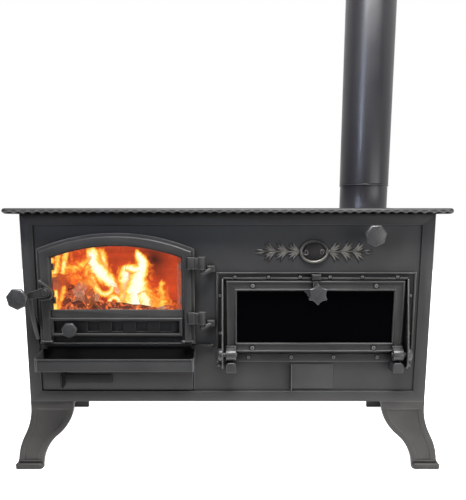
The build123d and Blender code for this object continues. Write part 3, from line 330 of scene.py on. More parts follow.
def tray_painted_shade():
    """Painted tray whose floor and the inside of its back are made black as painted shade, with rubbed
    edges that carry a painted highlight.
    """
    low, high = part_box("ember_tray")
    finish = Finish("tray_painted_shade")
    # painted shade mask: the floor and the inside of the back, below the rim
    behind = finish.spread(finish.axis("Y"), low.y + 4 * MM, low.y + 7 * MM)
    back = finish.math("MULTIPLY", behind, finish.spread(finish.facing("Y"), -0.3, -0.7))
    inside = finish.math("MAXIMUM", back, finish.spread(finish.facing("Z"), 0.6, 0.9))
    below_rim = finish.spread(finish.axis("Z"), high.z - 3 * MM, high.z - 8 * MM)
    inside = finish.math("MULTIPLY", inside, below_rim)
    paint = finish.mottled(finish.noise(9.0, 4.0), grey(0.026), grey(0.033))
    # rubbed edges, lightened further as a painted highlight
    paint = finish.mix(finish.outer_edges(FINE_EDGE), paint, grey(0.085))
    # painted shade: the masked inside is made nearly black
    finish.colour(finish.mix(inside, paint, grey(0.0015)))
    finish.constants(Specular_IOR_Level=0.12)
    finish.roughness(finish.spread(inside, 0.0, 1.0, 0.5, 0.85))
    finish.normal(finish.bump(finish.noise(900.0, 2.0), 0.12 * MM, 0.35))
    return finish.material


def casting(name, tone, warm=0.0, rough=0.5, rub_and_highlight=3.2, shine=0.3, coarse=1.0):
    """Painted iron casting: sand grain, small pits, rubbed high edges with a painted highlight,
    painted shade in gaps and pockets, and painted highlight and shade from the mesh's painted_light
    attribute.
    """
    finish = Finish(name)
    clouds = finish.noise(16.0, 5.0)
    body = finish.mottled(clouds, grey(tone * 0.85, warm), grey(tone * 1.15, warm))
    # rubbed edges, lightened further as a painted highlight
    uneven = finish.spread(clouds, 0.3, 0.6, 0.6, 1.0)
    worn_and_lit_edges = finish.math("MULTIPLY", finish.outer_edges(CAST_EDGE), uneven)
    body = finish.mix(worn_and_lit_edges, body, grey(tone * rub_and_highlight, warm))
    # painted_light from the mesh: below 0 painted shade, above 0 painted highlight
    painted_light = finish.attribute("painted_light")
    body = finish.mix(finish.spread(painted_light, 0.0, -1.0), body, grey(tone * 0.1, warm))
    # painted shade: pockets and gaps darkened toward 0.12 of the tone
    open_all_round = finish.math("MULTIPLY", finish.open_to_air(*POCKET), finish.open_to_air(*GAP))
    body = finish.mix(open_all_round, grey(tone * 0.12), body)
    finish.colour(finish.mix(finish.spread(painted_light, 0.0, 1.0), body, grey(tone * rub_and_highlight, warm)))
    finish.constants(Specular_IOR_Level=shine)
    finish.drifting_roughness(finish.noise(40.0, 4.0), rough - 0.08, rough + 0.08)
    pits = finish.bump(finish.spread(finish.cells(420.0), 0.0, 0.35), 0.2 * MM, 0.3 * coarse)
    sand = finish.bump(finish.noise(800.0, 3.0), 0.3 * MM, 0.35 * coarse, pits)
    finish.normal(finish.bump(finish.noise(90.0, 2.0), 0.5 * MM, 0.2 * coarse, sand))
    return finish.material


def hammered(name, tone):
    """Grey knob casting with a dimpled skin and rubbed edges that carry a painted highlight."""
    finish = Finish(name)
    dents = finish.cells(210.0, "SMOOTH_F1")
    low = finish.spread(dents, 0.1, 0.7)
    # rubbed edges, lightened further as a painted highlight
    edges = finish.math("MULTIPLY", finish.outer_edges(FINE_EDGE), 0.7)
    body = finish.mix(low, grey(tone * 1.15), grey(tone * 0.8))
    finish.colour(finish.mix(edges, body, grey(tone * 2.2)))
    finish.constants(Metallic=0.2, Specular_IOR_Level=0.5)
    finish.drifting_roughness(finish.noise(70.0, 4.0), 0.3, 0.46)
    sand = finish.bump(finish.noise(600.0, 3.0), 0.25 * MM, 0.4)
    finish.normal(finish.bump(dents, 0.7 * MM, 0.45, sand))
    return finish.material


def dark_pane():
    """Near-black pane, a painted shade that stands for the dark oven behind it, so that the oven
    doesn't show.
    """
    finish = Finish("oven_glass")
    finish.colour((0.0004, 0.0004, 0.0008, 1))
    finish.constants(Specular_IOR_Level=0.04)
    finish.roughness(0.06)
    return finish.material


def worn_steel(name, tone, rough=0.38):
    """Bare or thinly blackened steel with fine scratches and darker patches."""
    finish = Finish(name)
    patches = finish.spread(finish.noise(60.0, 5.0), 0.4, 0.62)
    finish.colour(finish.mix(patches, grey(tone, 0.01), grey(tone * 0.45, 0.05)))
    finish.constants(Metallic=1.0)
    lines = finish.noise(500.0, 2.0)
    finish.drifting_roughness(lines, rough - 0.1, rough + 0.12)
    finish.normal(finish.bump(lines, 0.08 * MM, 0.4))
    return finish.material


def flue_paint():
    """Satin black pipe paint with long soft streaks."""
    finish = Finish("flue_paint")
    streaks = finish.spread(finish.noise(30.0, 3.0, stretch=(1, 1, 0.06)), *DRIFT)
    finish.colour(finish.mix(streaks, (0.0115, 0.0105, 0.012, 1), (0.018, 0.0172, 0.019, 1)))
    finish.constants(Specular_IOR_Level=0.35)
    finish.drifting_roughness(finish.noise(18.0, 4.0), 0.3, 0.4)
    finish.normal(finish.bump(finish.noise(1100.0, 2.0), 0.08 * MM, 0.2))
    return finish.material


def clear_glass(name, tint, haze, shine):
    """Glass pane with a faint film in cloudy patches."""
    finish = Finish(name)
    finish.colour(tint)
    finish.constants(Transmission_Weight=1.0, IOR=1.47, Specular_IOR_Level=shine)
    finish.roughness(finish.spread(finish.noise(9.0, 5.0), 0.45, 0.75, 0.0, haze))
    return finish.material


def fire_clay():
    """Fired clay with mortar lines, soot clouds, one dark spot on the back wall and a painted glow in
    streaks round it.
    """
    finish = Finish("fire_clay")
    clouds = finish.noise(22.0, 6.0)
    body = finish.mottled(clouds, (0.26, 0.1, 0.05, 1), (0.4, 0.17, 0.09, 1))
    along = finish.math("ADD", finish.axis("X"), finish.axis("Y"))
    lay = finish.node("ShaderNodeCombineXYZ")
    finish.feed(lay.inputs["X"], along)
    finish.feed(lay.inputs["Y"], finish.axis("Z"))
    courses = finish.node("ShaderNodeTexBrick", offset=0.5)
    finish.feed(courses.inputs["Vector"], lay.outputs["Vector"])
    set_inputs(courses, Scale=1.0, Mortar_Size=1.6 * MM, Mortar_Smooth=0.4)
    set_inputs(courses, Brick_Width=124 * MM, Row_Height=48 * MM)
    joints = courses.outputs["Fac"]
    body = finish.mix(finish.math("MULTIPLY", joints, 0.45), body, (0.16, 0.07, 0.04, 1))
    soot = finish.spread(finish.noise(6.0, 4.0), 0.5, 0.8, 0.0, 0.7)
    body = finish.mix(soot, body, (0.16, 0.08, 0.05, 1))
    spot = finish.away_from(DARK_SPOT, DARK_SPOT_REACH)
    finish.colour(finish.mix(spot, (0.035, 0.016, 0.012, 1), body))
    streaks = finish.spread(finish.noise(9.0, 4.0, stretch=(1, 1, 3.5)), 0.3, 0.75, 0.35, 1.0)
    # painted glow: the bricks round the dark spot shine orange in streaks
    finish.constants(Emission_Color=(0.75, 0.075, 0.012, 1))
    glow = finish.math("MULTIPLY", finish.math("MULTIPLY", streaks, spot), GLOWING_BRICK)
    finish.feed(finish.shader.inputs["Emission Strength"], glow)
    finish.roughness(0.9)
    pores = finish.bump(finish.cells(260.0), 0.6 * MM, 0.5)
    finish.normal(finish.bump(joints, -1.5 * MM, 0.8, pores))
    return finish.material


def oven_enamel():
    """Black enamel with fine pale specks."""
    finish = Finish("oven_enamel")
    specks = finish.spread(finish.noise(700.0, 1.0), 0.66, 0.72)
    finish.colour(finish.mix(specks, (0.004, 0.004, 0.005, 1), (0.02, 0.02, 0.022, 1)))
    finish.constants(Specular_IOR_Level=0.3)
    finish.roughness(0.4)
    finish.normal(finish.bump(finish.noise(60.0, 2.0), 0.3 * MM, 0.2))
    return finish.material


def glass_rope():
    """Off-white fibres of the door rope."""
    finish = Finish("glass_rope")
    fibres = finish.noise(1500.0, 3.0)
    shade = finish.spread(fibres, *DRIFT)
    finish.colour(finish.mix(shade, (0.2, 0.19, 0.17, 1), (0.42, 0.41, 0.38, 1)))
    finish.roughness(0.95)
    finish.normal(finish.bump(fibres, 0.4 * MM, 0.7))
    return finish.material


def antique_casting():
    """Dark casting whose raised leaves are rubbed to a pewter grey, with painted highlights from the
    painted_light attribute and painted shade in its hollows.
    """
    finish = Finish("antique_casting")
    low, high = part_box("ornament")
    height = finish.spread(finish.axis("Y"), high.y, low.y)
    patches = finish.spread(finish.noise(90.0, 4.0), 0.3, 0.62, 0.5, 1.0)
    rubbed = finish.math("MULTIPLY", finish.spread(height, 0.3, 1.0), patches)
    # painted_light adds a painted highlight along the leaves' backs and a painted reflection low on
    # the ring
    rubbed = finish.math("MULTIPLY", rubbed, finish.spread(finish.attribute("painted_light"), -1.0, 1.0))
    body = finish.mix(rubbed, (0.018, 0.017, 0.016, 1), (0.34, 0.315, 0.28, 1))
    # painted shade in the hollows of the casting
    finish.colour(finish.mix(finish.open_to_air(5 * MM, 0.3, 0.8), grey(0.005), body))
    finish.constants(Metallic=0.55, Specular_IOR_Level=0.4)
    finish.drifting_roughness(finish.noise(50.0, 4.0), 0.3, 0.44)
    finish.normal(finish.bump(finish.noise(600.0, 3.0), 0.2 * MM, 0.4))
    return finish.material


MATERIALS = {
    "body_paint": painted_steel("body_paint", 0.022, 0.02, rub_and_highlight=5.0),
    "cast_door": casting("cast_door", 0.019, 0.04, rough=0.46, rub_and_highlight=8.5, shine=0.26, coarse=0.7),
    "cooktop": casting("cooktop", 0.03, 0.02, rub_and_highlight=4.5),
    "flue_paint": flue_paint(),
    "leg_cast": casting("leg_cast", 0.024, 0.06, coarse=0.4),
    "knob_cast": hammered("knob_cast", 0.031),
    "bright_steel": worn_steel("bright_steel", 0.3),
    "heat_glass": clear_glass("heat_glass", (1.0, 0.99, 0.97, 1), 0.0, 0.1),
    "oven_glass": dark_pane(),
    "firebrick": fire_clay(),
    "rope_gasket": glass_rope(),
    "oven_enamel": oven_enamel(),
    "plain_steel": worn_steel("plain_steel", 0.1, 0.5),
    "ornament_cast": antique_casting(),
}

# nodes that look different from the rest of their slot, both darkened as painted shade
OWN_LOOKS = {
    "ember_tray": tray_painted_shade(),
    # the drawer handle is painted near black as painted shade, with a strong painted highlight on its
    # edges
    "ash_drawer_handle": painted_steel("handle_painted_shade", 0.007, rub_and_highlight=9.0, shine=0.2),
}


# ---- meshes ----------------------------------------------------------
def turn_angles(count):
    """Evenly spaced angles of a whole turn."""
    return [2 * math.pi * step / count for step in range(count)]


def join_rings(work, rings, closed=False):
    """Faces between rings of vertices. The ends are capped, unless the last ring joins the first."""
    for ring, following in zip(rings, rings[1:] + (rings[:1] if closed else [])):
        for step in range(len(ring)):
            after = (step + 1) % len(ring)
            work.faces.new((ring[step], ring[after], following[after], following[step]))
    if not closed:
        work.faces.new(list(reversed(rings[0])))
        work.faces.new(rings[-1])


def join_rows(work, rows):
    """Faces of an open sheet between rows of vertices."""
    for row, following in zip(rows, rows[1:]):
        for first in range(len(row) - 1):
            work.faces.new((row[first], row[first + 1], following[first + 1], following[first]))


def mesh_from(name, work):
    bmesh.ops.recalc_face_normals(work, faces=work.faces)
    mesh = bpy.data.meshes.new(name)
    work.to_mesh(mesh)
    work.free()
    return mesh


def add_object(name, data):
    made = bpy.data.objects.new(name, data)
    bpy.context.scene.collection.objects.link(made)
    return made


# ---- pieces ----------------------------------------------------------
def slot_of(node):
    for row in frame["record"]["subparts"]:
        if row["node"] == node:
            return row["material_slot"]
    return None


def body_of(node):
    for body, members in frame["record"]["behaviour"]["bodies"].items():
        if node in members:
            return body
    return None


def dress(piece, node):
    """Give a piece the look of its node."""
    slot = slot_of(node)
    piece.data.materials.clear()
    piece.data.materials.append(OWN_LOOKS.get(node, MATERIALS[slot]))


def new_piece(name, mesh, stands_for, smooth_angle=35):
    """Put a mesh in the scene in place of a CAD node."""
    piece = add_object(name, mesh)
    mesh.shade_smooth()
    mesh.set_sharp_from_angle(angle=math.radians(smooth_angle))
    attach(piece, body_of(stands_for[0]))
    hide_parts(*stands_for)
    dress(piece, stands_for[0])


def soften(node, width):
    """Copy of a CAD node with its edges rounded, standing for that node."""
    mesh = NODES[node].data.copy()
    work = bmesh.new()
    work.from_mesh(mesh)
    bmesh.ops.remove_doubles(work, verts=work.verts, dist=1e-6)
    flat = math.radians(0.5)
    bmesh.ops.dissolve_limit(work, angle_limit=flat, verts=work.verts, edges=work.edges)
    work.to_mesh(mesh)
    work.free()
    trial = add_object("trial", mesh)
    bevel = trial.modifiers.new("round", "BEVEL")
    bevel.width = width
    bevel.segments = 2
    bevel.limit_method = "ANGLE"
    bevel.angle_limit = math.radians(38)
    bevel.use_clamp_overlap = True
    bevel.miter_outer = "MITER_ARC"
    graph = bpy.context.evaluated_depsgraph_get()
    rounded = bpy.data.meshes.new_from_object(trial.evaluated_get(graph))
    bpy.data.objects.remove(trial)
    new_piece(node + "_finished", rounded, [node])


def rounded_path(corners, radius, step):
    """Points along straight runs joined by round bends, at most about one step apart."""
    points = [Vector(corners[0])]
    for index in range(1, len(corners) - 1):
        before, corner, after = (Vector(corners[i]) for i in (index - 1, index, index + 1))
        into, out = (before - corner).normalized(), (after - corner).normalized()
        half = into.angle(out) / 2
        reach = radius / math.tan(half)
        centre = corner + (into + out).normalized() * (radius / math.sin(half))
        start, end = corner + into * reach, corner + out * reach
        turns = 8
        for turn in range(turns + 1):
            arm = (start - centre).slerp(end - centre, turn / turns)
            points.append(centre + arm.normalized() * radius)
    points.append(Vector(corners[-1]))
    even = [points[0]]
    for first, second in zip(points, points[1:]):
        run = (second - first).length
        count = max(1, round(run / step))
        even += [first.lerp(second, i / count) for i in range(1, count + 1)]
    return even


def wavy_bar(name, path, radius, around):
    """Open bar with a smooth top, whose lower side goes in waves with a raised ridge above them; the
    ridge carries a painted highlight, with painted shade above it and deeper painted shade below it.
    """
    work = bmesh.new()
    painted_light = work.verts.layers.float.new("painted_light")
    rings = []
    travelled = 0.0
    for index, point in enumerate(path):
        before, after = path[max(index - 1, 0)], path[min(index + 1, len(path) - 1)]
        travelled += (point - before).length
        along = (after - before).normalized()
        side = along.cross(Vector((0, 0, 1))).normalized()
        valley = 0.5 - 0.5 * math.cos(2 * math.pi * travelled / WAVE_LENGTH)
        ridge = -0.4 + 0.4 * valley
        ring = []
        for angle in turn_angles(around):
            rise = math.sin(angle)
            lit = math.exp(-((rise - ridge) / 0.2) ** 2)
            reach = radius - WAVE_DEPTH * valley * max(0.0, -rise) + RIDGE_HEIGHT * lit
            away = side * math.cos(angle) * reach + Vector((0, 0, rise * reach))
            vert = work.verts.new(point + away)
            # painted light: painted highlight on the ridge, painted shade elsewhere, deepest below the
            # ridge
            shade = 1.0 if rise < ridge - 0.3 else 0.55
            vert[painted_light] = 1.45 * lit - shade
            ring.append(vert)
        rings.append(ring)
    join_rings(work, rings)
    return mesh_from(name, work)


def loose_boxes(node):
    """Box of each separate solid of a CAD node."""
    shown = NODES[node]
    work = bmesh.new()
    work.from_mesh(shown.data)
    work.transform(shown.matrix_world)
    bmesh.ops.remove_doubles(work, verts=work.verts, dist=1e-6)
    waiting = set(work.verts)
    boxes = []
    while waiting:
        reached = [waiting.pop()]
        for vert in reached:
            near = [edge.other_vert(vert) for edge in vert.link_edges]
            fresh = [other for other in near if other in waiting]
            waiting.difference_update(fresh)
            reached.extend(fresh)
        low = Vector(min(vert.co[axis] for vert in reached) for axis in range(3))
        high = Vector(max(vert.co[axis] for vert in reached) for axis in range(3))
        boxes.append((low, high))
    work.free()
    return boxes


def add_head(work, painted_light, centre, radius, thick):
    """Turned screw head that looks to the front, in its seat, with a socket in the middle, painted
    shade in the seat and socket and a painted highlight on its dome.
    """
    rings = []
    for reach, rise, light in HEAD_PROFILE:
        ring = []
        for angle in turn_angles(20):
            away = Vector((math.cos(angle), 0, math.sin(angle))) * radius * reach
            vert = work.verts.new(centre + away - Vector((0, thick * rise, 0)))
            vert[painted_light] = light
            ring.append(vert)
        rings.append(ring)
    join_rings(work, rings)


def screw_heads(node):
    """A turned head for each screw of a node."""
    work = bmesh.new()
    painted_light = work.verts.layers.float.new("painted_light")
    for low, high in loose_boxes(node):
        centre = Vector(((low.x + high.x) / 2, high.y, (low.z + high.z) / 2))
        add_head(work, painted_light, centre, (high.x - low.x) / 2, high.y - low.y)
    new_piece(node + "_heads", mesh_from(node + "_heads", work), [node], 40)


def gasket_rope():
    """Braided rope in the channel behind the fire door."""
    low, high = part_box("fire_door_gasket")
    half = GASKET_WIDTH / 2
    left, right, bottom, top = low.x + half, high.x - half, low.z + half, high.z - half
    spring = top - GASKET_ARCH
    y = (low.y + high.y) / 2
    middle, span = (left + right) / 2, (right - left) / 2
    radius = (span ** 2 + GASKET_ARCH ** 2) / (2 * GASKET_ARCH)
    sweep = math.asin(span / radius)
    corners = [Vector((left, y, spring)), Vector((left, y, bottom)), Vector((right, y, bottom))]
    steps = 60
    for step in range(steps):
        angle = sweep * (1 - 2 * step / steps)
        height = top - radius + radius * math.cos(angle)
        corners.append(Vector((middle + radius * math.sin(angle), y, height)))
    path = []
    for first, second in zip(corners, corners[1:] + corners[:1]):
        count = max(1, round((second - first).length / ROPE_STEP))
        path += [first.lerp(second, index / count) for index in range(count)]
    sizes = [half * (0.94 + 0.06 * math.cos(math.pi * index / 2)) for index in range(len(path))]
    work = bmesh.new()
    add_tube(work, path, sizes, 12, closed=True, flat=(high.y - low.y) / GASKET_WIDTH)
    new_piece("door_rope", mesh_from("door_rope", work), ["fire_door_gasket"], 60)


def add_tube(work, path, radii, around=12, closed=False, flat=1.0):
    """Round or flattened bar along a path in the X-Z plane; one radius, or one for each point."""
    first_new = len(work.verts)
    count = len(path)
    sizes = radii if isinstance(radii, list) else [radii] * count
    rings = []
    for index, point in enumerate(path):
        before = path[index - 1] if index or closed else point
        after = path[(index + 1) % count] if index < count - 1 or closed else point
        along = (after - before).normalized()
        out = Vector((0, -1, 0))
        side = along.cross(out).normalized()
        ring = []
        for angle in turn_angles(around):
            away = side * math.cos(angle) + out * flat * math.sin(angle)
            ring.append(work.verts.new(point + away * sizes[index]))
        rings.append(ring)
    join_rings(work, rings, closed)
    work.verts.ensure_lookup_table()
    return work.verts[first_new:]


def curved_leaf(work, painted_light, root, angles, length, width, rise):
    """Domed leaf in the X-Z plane that bends from one angle to the other, with a painted highlight
    along its back and painted shade at its edges.
    """
    start_angle, end_angle = angles
    long_steps, half_steps = 12, 4
    spine = [Vector(root)]
    headings = []
    for step in range(long_steps + 1):
        angle = start_angle + (end_angle - start_angle) * (step / long_steps) ** 0.8
        headings.append(Vector((math.cos(angle), 0, math.sin(angle))))
        if step < long_steps:
            spine.append(spine[-1] + headings[-1] * (length / long_steps))
    rows = []
    for step, point in enumerate(spine):
        share = step / long_steps
        half = width / 2 * math.sin(math.pi * min(1.0, 0.12 + 0.88 * share)) ** 0.7
        side = headings[step].cross(Vector((0, 1, 0)))
        row = []
        for lane in range(-half_steps, half_steps + 1):
            across = lane / half_steps
            dome = math.sqrt(max(0.0, 1 - across * across))
            out = rise * dome * (0.45 + 0.55 * math.sin(math.pi * min(1.0, 0.2 + share * 0.8)))
            vert = work.verts.new(point + side * half * across + Vector((0, -out, 0)))
            vert[painted_light] = 2 * dome ** 2 - 1
            row.append(vert)
        rows.append(row)
    join_rows(work, rows)


def toward(side, up, angles):
    """The angles, in degrees from straight out, turned to one side and up or down."""
    out = [math.radians(angle) for angle in angles]
    if side < 0:
        out = [math.pi - angle for angle in out]
    return [up * angle for angle in out]


def leaf_branch(work, painted_light, centre, side):
    """Stem with three fans of narrow leaves up and down and a forked tip."""
    back = centre + Vector((0, 4.5 * MM, 0))
    stem = []
    for x in range(32, 134, 4):
        stem.append(back + Vector((side * x * MM, -1.6 * MM, math.sin(x / 13) * 0.8 * MM)))
    add_tube(work, stem, [(2.6 - 1.3 * index / len(stem)) * MM for index in range(len(stem))])
    for tip in FAN_TIPS:
        for up in (1, -1):
            root = back + Vector((side * (tip - FAN_REACH) * MM, 0, up * 1.5 * MM))
            for angles, long, wide in FAN_LEAVES:
                turned = toward(side, up, angles)
                curved_leaf(work, painted_light, root, turned, long * MM, wide * MM, LEAF_RISE * MM)
    angles, long, wide = TIP_LEAF
    for up in (1, -1):
        root = back + Vector((side * FAN_TIPS[-1] * MM, 0, 0))
        turned = toward(side, up, angles)
        curved_leaf(work, painted_light, root, turned, long * MM, wide * MM, TIP_RISE * MM)


def scroll(work, centre, side):
    """Curled end inside the ring."""
    turns, steps = 1.3, 26
    path, sizes = [], []
    for step in range(steps + 1):
        share = step / steps
        angle = math.pi / 2 * (1 - side) + 2 * math.pi * turns * share
        reach = (7.2 - 5.6 * share) * MM
        path.append(centre + Vector((math.cos(angle) * reach, 0.6 * MM, math.sin(angle) * reach)))
        sizes.append((2.0 - 0.5 * share) * MM)
    add_tube(work, path, sizes)


def ornament():
    """Oval ring round a plain disc, with a branch of leaves and a scroll on each side."""
    low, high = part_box("ornament")
    centre = Vector(((low.x + high.x) / 2, low.y + 2.4 * MM, (low.z + high.z) / 2))
    work = bmesh.new()
    painted_light = work.verts.layers.float.new("painted_light")
    ring = []
    for angle in turn_angles(56):
        across, up = RING_WIDE * math.cos(angle), RING_HIGH * math.sin(angle)
        ring.append(centre + Vector((across, 0.8 * MM, up)))
    # painted reflection: the ring's painted_light rises toward its bottom, so it is lighter low and
    # darker high
    for vert in add_tube(work, ring, RING_THICK, 14, closed=True):
        vert[painted_light] = -0.6 - 0.014 * (vert.co.z - centre.z) / MM
    disc = Matrix.Translation(centre + Vector((0, 4 * MM, 0))) @ Matrix.Diagonal((*DISC, 1))
    bmesh.ops.create_uvsphere(work, u_segments=40, v_segments=16, radius=1, matrix=disc)
    for side in (-1, 1):
        leaf_branch(work, painted_light, centre, side)
        scroll(work, centre + Vector((side * 20 * MM, 1.2 * MM, -2 * MM)), side)
    new_piece("ornament_leaves", mesh_from("ornament_leaves", work), ["ornament"], 50)


def plate_lip():
    """Cast wavy lip along the front and both sides of the plate."""
    low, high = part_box("plate_rim")
    radius = (high.z - low.z) / 2
    z = low.z + radius
    left, right, front = low.x + radius, high.x - radius, low.y + radius
    corners = [(left, high.y, z), (left, front, z), (right, front, z), (right, high.y, z)]
    path = rounded_path(corners, LIP_CORNER, LIP_STEP)
    new_piece("plate_lip", wavy_bar("plate_lip", path, radius, 36), ["plate_rim"], 60)


def finish_nodes():
    """Every CAD node gets its material, and the ones with plain edges a rounded copy."""
    for node, shown in NODES.items():
        dress(shown, node)
    for width, names in ROUNDED_EDGES.items():
        for name in names:
            soften(name, width)


# ---- fire, seen through the window -----------------------------------
BRICKS_LOW, BRICKS_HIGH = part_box("firebrick_sides")
BRICK_THICK = 28 * MM
BRICK_MARGIN = 2 * MM


def behind_window(right, up, depth):
    """Place at a depth behind the body front that shows at this point of the window, all in mm.

    It stays between the outer faces of the firebox bricks.
    """
    near = Vector((WINDOW_LEFT + right * MM, FRONT_Y + WINDOW_DEPTH, WINDOW_LOW + up * MM))
    ray = near - CAMERA_PLACE
    reach = (FRONT_Y + depth * MM - CAMERA_PLACE.y) / ray.y
    place = CAMERA_PLACE + ray * reach
    place.x = min(max(place.x, BRICKS_LOW.x + BRICK_MARGIN), BRICKS_HIGH.x - BRICK_MARGIN)
    return place


def smooth_line(points, parts=7):
    """Points on a smooth curve through all the given ones."""
    line = []
    last = len(points) - 1
    for index in range(last):
        near = [points[min(max(index + step, 0), last)] for step in (-1, 0, 1, 2)]
        for part in range(parts):
            t = part / parts
            weights = (
                (-t + 2 * t * t - t ** 3) / 2,
                (2 - 5 * t * t + 3 * t ** 3) / 2,
                (t + 4 * t * t - 3 * t ** 3) / 2,
                (t ** 3 - t * t) / 2,
            )
            line.append(tuple(sum(w * p[axis] for w, p in zip(weights, near)) for axis in range(3)))
    line.append(points[-1])
    return line


# warmth and colour of a flame: its edge, its core, then what lies between them
FLAME_COLOURS = (
    (0.0, (0.55, 0.03, 0.0, 1)),
    (1.0, (1.0, 1.0, 0.86, 1)),
    (0.22, (0.95, 0.16, 0.01, 1)),
    (0.42, (1.0, 0.42, 0.04, 1)),
    (0.58, (1.0, 0.72, 0.12, 1)),
    (0.76, (1.0, 0.95, 0.5, 1)),
)
FLAME_GLOW = 1.15


def flame_gas():
    """Glow that runs from clear orange edges to a white-yellow core."""
    finish = Finish("flame_gas")
    heat = finish.attribute("warmth")
    lick = finish.spread(finish.noise(46.0, 4.0, distortion=1.4), 0.25, 0.75, -0.28, 0.2)
    heat = finish.math("ADD", heat, lick)
    light = finish.node("ShaderNodeEmission")
    finish.feed(light.inputs["Color"], finish.ramp(heat, FLAME_COLOURS))
    set_inputs(light, Strength=FLAME_GLOW)
    clear = finish.node("ShaderNodeBsdfTransparent")
    blend = finish.node("ShaderNodeMixShader")
    finish.feed(blend.inputs["Fac"], finish.spread(heat, 0.06, 0.42))
    finish.feed(blend.inputs[1], clear.outputs["BSDF"])
    finish.feed(blend.inputs[2], light.outputs["Emission"])
    finish.feed(finish.tree.nodes["Material Output"].inputs["Surface"], blend.outputs["Shader"])
    return finish.material


def add_flame(work, warmth, points, depth, heat):
    """Soft tongue of fire: points are right, up and half width, as seen in the window."""
    lanes = 10
    line = smooth_line(points)
    rows = []
    for index, (right, up, half) in enumerate(line):
        previous, following = line[max(index - 1, 0)], line[min(index + 1, len(line) - 1)]
        run = Vector((following[0] - previous[0], following[1] - previous[1])).normalized()
        share = index / (len(line) - 1)
        fade = min(1.0, share * 7 + 0.15)
        row = []
        for lane in range(lanes + 1):
            across = 2 * lane / lanes - 1
            reach = across * half * 1.6
            place = behind_window(right - run.y * reach, up + run.x * reach, depth + 6 * abs(across))
            vert = work.verts.new(place)
            vert[warmth] = heat * fade * (1 - abs(across) ** 1.2)
            row.append(vert)
        rows.append(row)
    join_rows(work, rows)


# each flame: depth behind the body front, heat of its core, points from its tip to its root
FLAMES = {
    "tall_tongue": (150, 1.1, [(109, 156, 17), (102, 128, 14), (109, 104, 17), (126, 83, 17),
                               (142, 70, 13), (155, 53, 10), (169, 34, 10), (185, -4, 13)]),
    "tall_tongue_right": (158, 0.66, [(121, 150, 12), (127, 126, 10), (132, 106, 9), (141, 88, 9),
                                      (150, 66, 8)]),
    "left_sweep": (12, 0.5, [(99, 134, 9), (80, 112, 10), (60, 103, 13), (36, 101, 12), (14, 97, 10)]),
    "left_arm": (116, 0.55, [(92, 112, 7), (84, 92, 10), (90, 74, 9), (100, 58, 8)]),
    "loop": (120, 0.74, [(97, 92, 10), (102, 66, 9), (113, 47, 8), (128, 38, 8), (142, 44, 7),
                         (148, 58, 5)]),
    "loop_tail": (118, 0.6, [(110, 39, 8), (105, 19, 6), (102, -3, 6)]),
    "hook": (112, 0.78, [(138, 17, 5), (142, 28, 7), (152, 32, 8), (163, 21, 8), (172, -3, 9)]),
    "spire": (105, 1.2, [(209, 148, 4), (213, 131, 9), (222, 116, 11), (217, 97, 14), (209, 77, 19),
                         (206, 54, 24), (211, 28, 32), (214, -8, 40)]),
    "left_lobe": (110, 1.1, [(186, 112, 9), (184, 94, 15), (186, 74, 20), (189, 52, 23),
                             (192, 30, 27), (196, -8, 32)]),
    "shoulder": (104, 0.95, [(180, 104, 8), (196, 99, 10), (213, 98, 11)]),
    "right_foot": (102, 0.95, [(216, 46, 12), (224, 28, 18), (232, 12, 22), (236, -8, 25)]),
    "amber_tongue": (90, 0.46, [(264, 76, 6), (267, 56, 12), (263, 38, 20), (266, 18, 27),
                                (270, -8, 34)]),
    "amber_side": (92, 0.42, [(238, 38, 8), (250, 31, 12), (262, 24, 13)]),
    "amber_root": (94, 0.6, [(249, 22, 7), (246, 8, 9), (246, -6, 10)]),
    "streak_one": (7, 0.66, [(20, 136, 8), (16, 108, 10), (7, 88, 10)]),
    "streak_two": (9, 0.7, [(38, 146, 8), (34, 118, 8), (27, 88, 7)]),
    "streak_three": (6, 0.58, [(3, 128, 9), (2, 104, 10), (6, 80, 9)]),
    "low_left": (7, 0.62, [(11, 50, 6), (8, 24, 9), (5, -6, 11)]),
    "low_streak": (16, 0.5, [(34, 62, 5), (24, 34, 7), (14, 4, 7)]),
    "log_glow": (20, 0.36, [(20, 92, 14), (46, 80, 18), (80, 70, 18), (104, 56, 12)]),
    "left_veil": (140, 0.3, [(30, 150, 40), (34, 110, 46), (44, 66, 48), (52, 20, 44)]),
}

# a flame hotter than this has a dim halo: farther by so many mm, its heat, and how much wider
HALO_HEAT = 0.9
HALO = (14, 0.38, 1.9)

# logs: seed, then right, up and depth of both ends as seen in the window, and radius
LOGS = {
    1.0: ((-6, 50, 150), (70, 6, 90), 30),
    5.0: ((40, 0, 70), (250, -10, 110), 24),
    13.0: ((120, 8, 240), (300, -4, 260), 34),
}

# thin burning sticks: right and up of both ends as seen in the window, and depth of the first
# end, behind which the second lies
STICK_RADIUS = 4.5 * MM
STICK_LEAN = 30
STICKS = (
    ((4, -4), (30, 70), 26),
    ((26, -4), (50, 44), 30),
    ((40, 4), (96, -2), 24),
    ((62, -4), (36, 20), 22),
    ((14, 30), (64, 52), 40),
    ((96, 26), (122, -4), 34),
)

# small pieces of the bed, how they are shared among charcoal, ash and embers, where they lie as
# seen in the window, their size, and the height, middle and width of the pile at the left
EMBER_SEED = 11
EMBER_COUNT = 75
EMBER_SHARES = (4, 3, 4)
EMBER_RIGHT = (-12, 310)
EMBER_DEPTH = (32, 190)
EMBER_LOW, EMBER_TOP = -18, 2
EMBER_SIZE = (7, 14)
PILE = (48, 45, 62)

# ashy end of wood: right, up and depth of each lump as seen in the window, and size
ASHY_WOOD = ((74, 46, 70, 25), (52, 30, 84, 20), (98, 28, 96, 17))

# lights in the fire: right, up and depth as seen in the window, power in watts and radius
FIRE_LIGHTS = (
    ((150, 70, 180), 1.2, 60),
    ((20, 100, 90), 0.5, 30),
    ((285, 60, 300), 0.45, 40),
)
FIRE_COLOUR = (1.0, 0.2, 0.04)


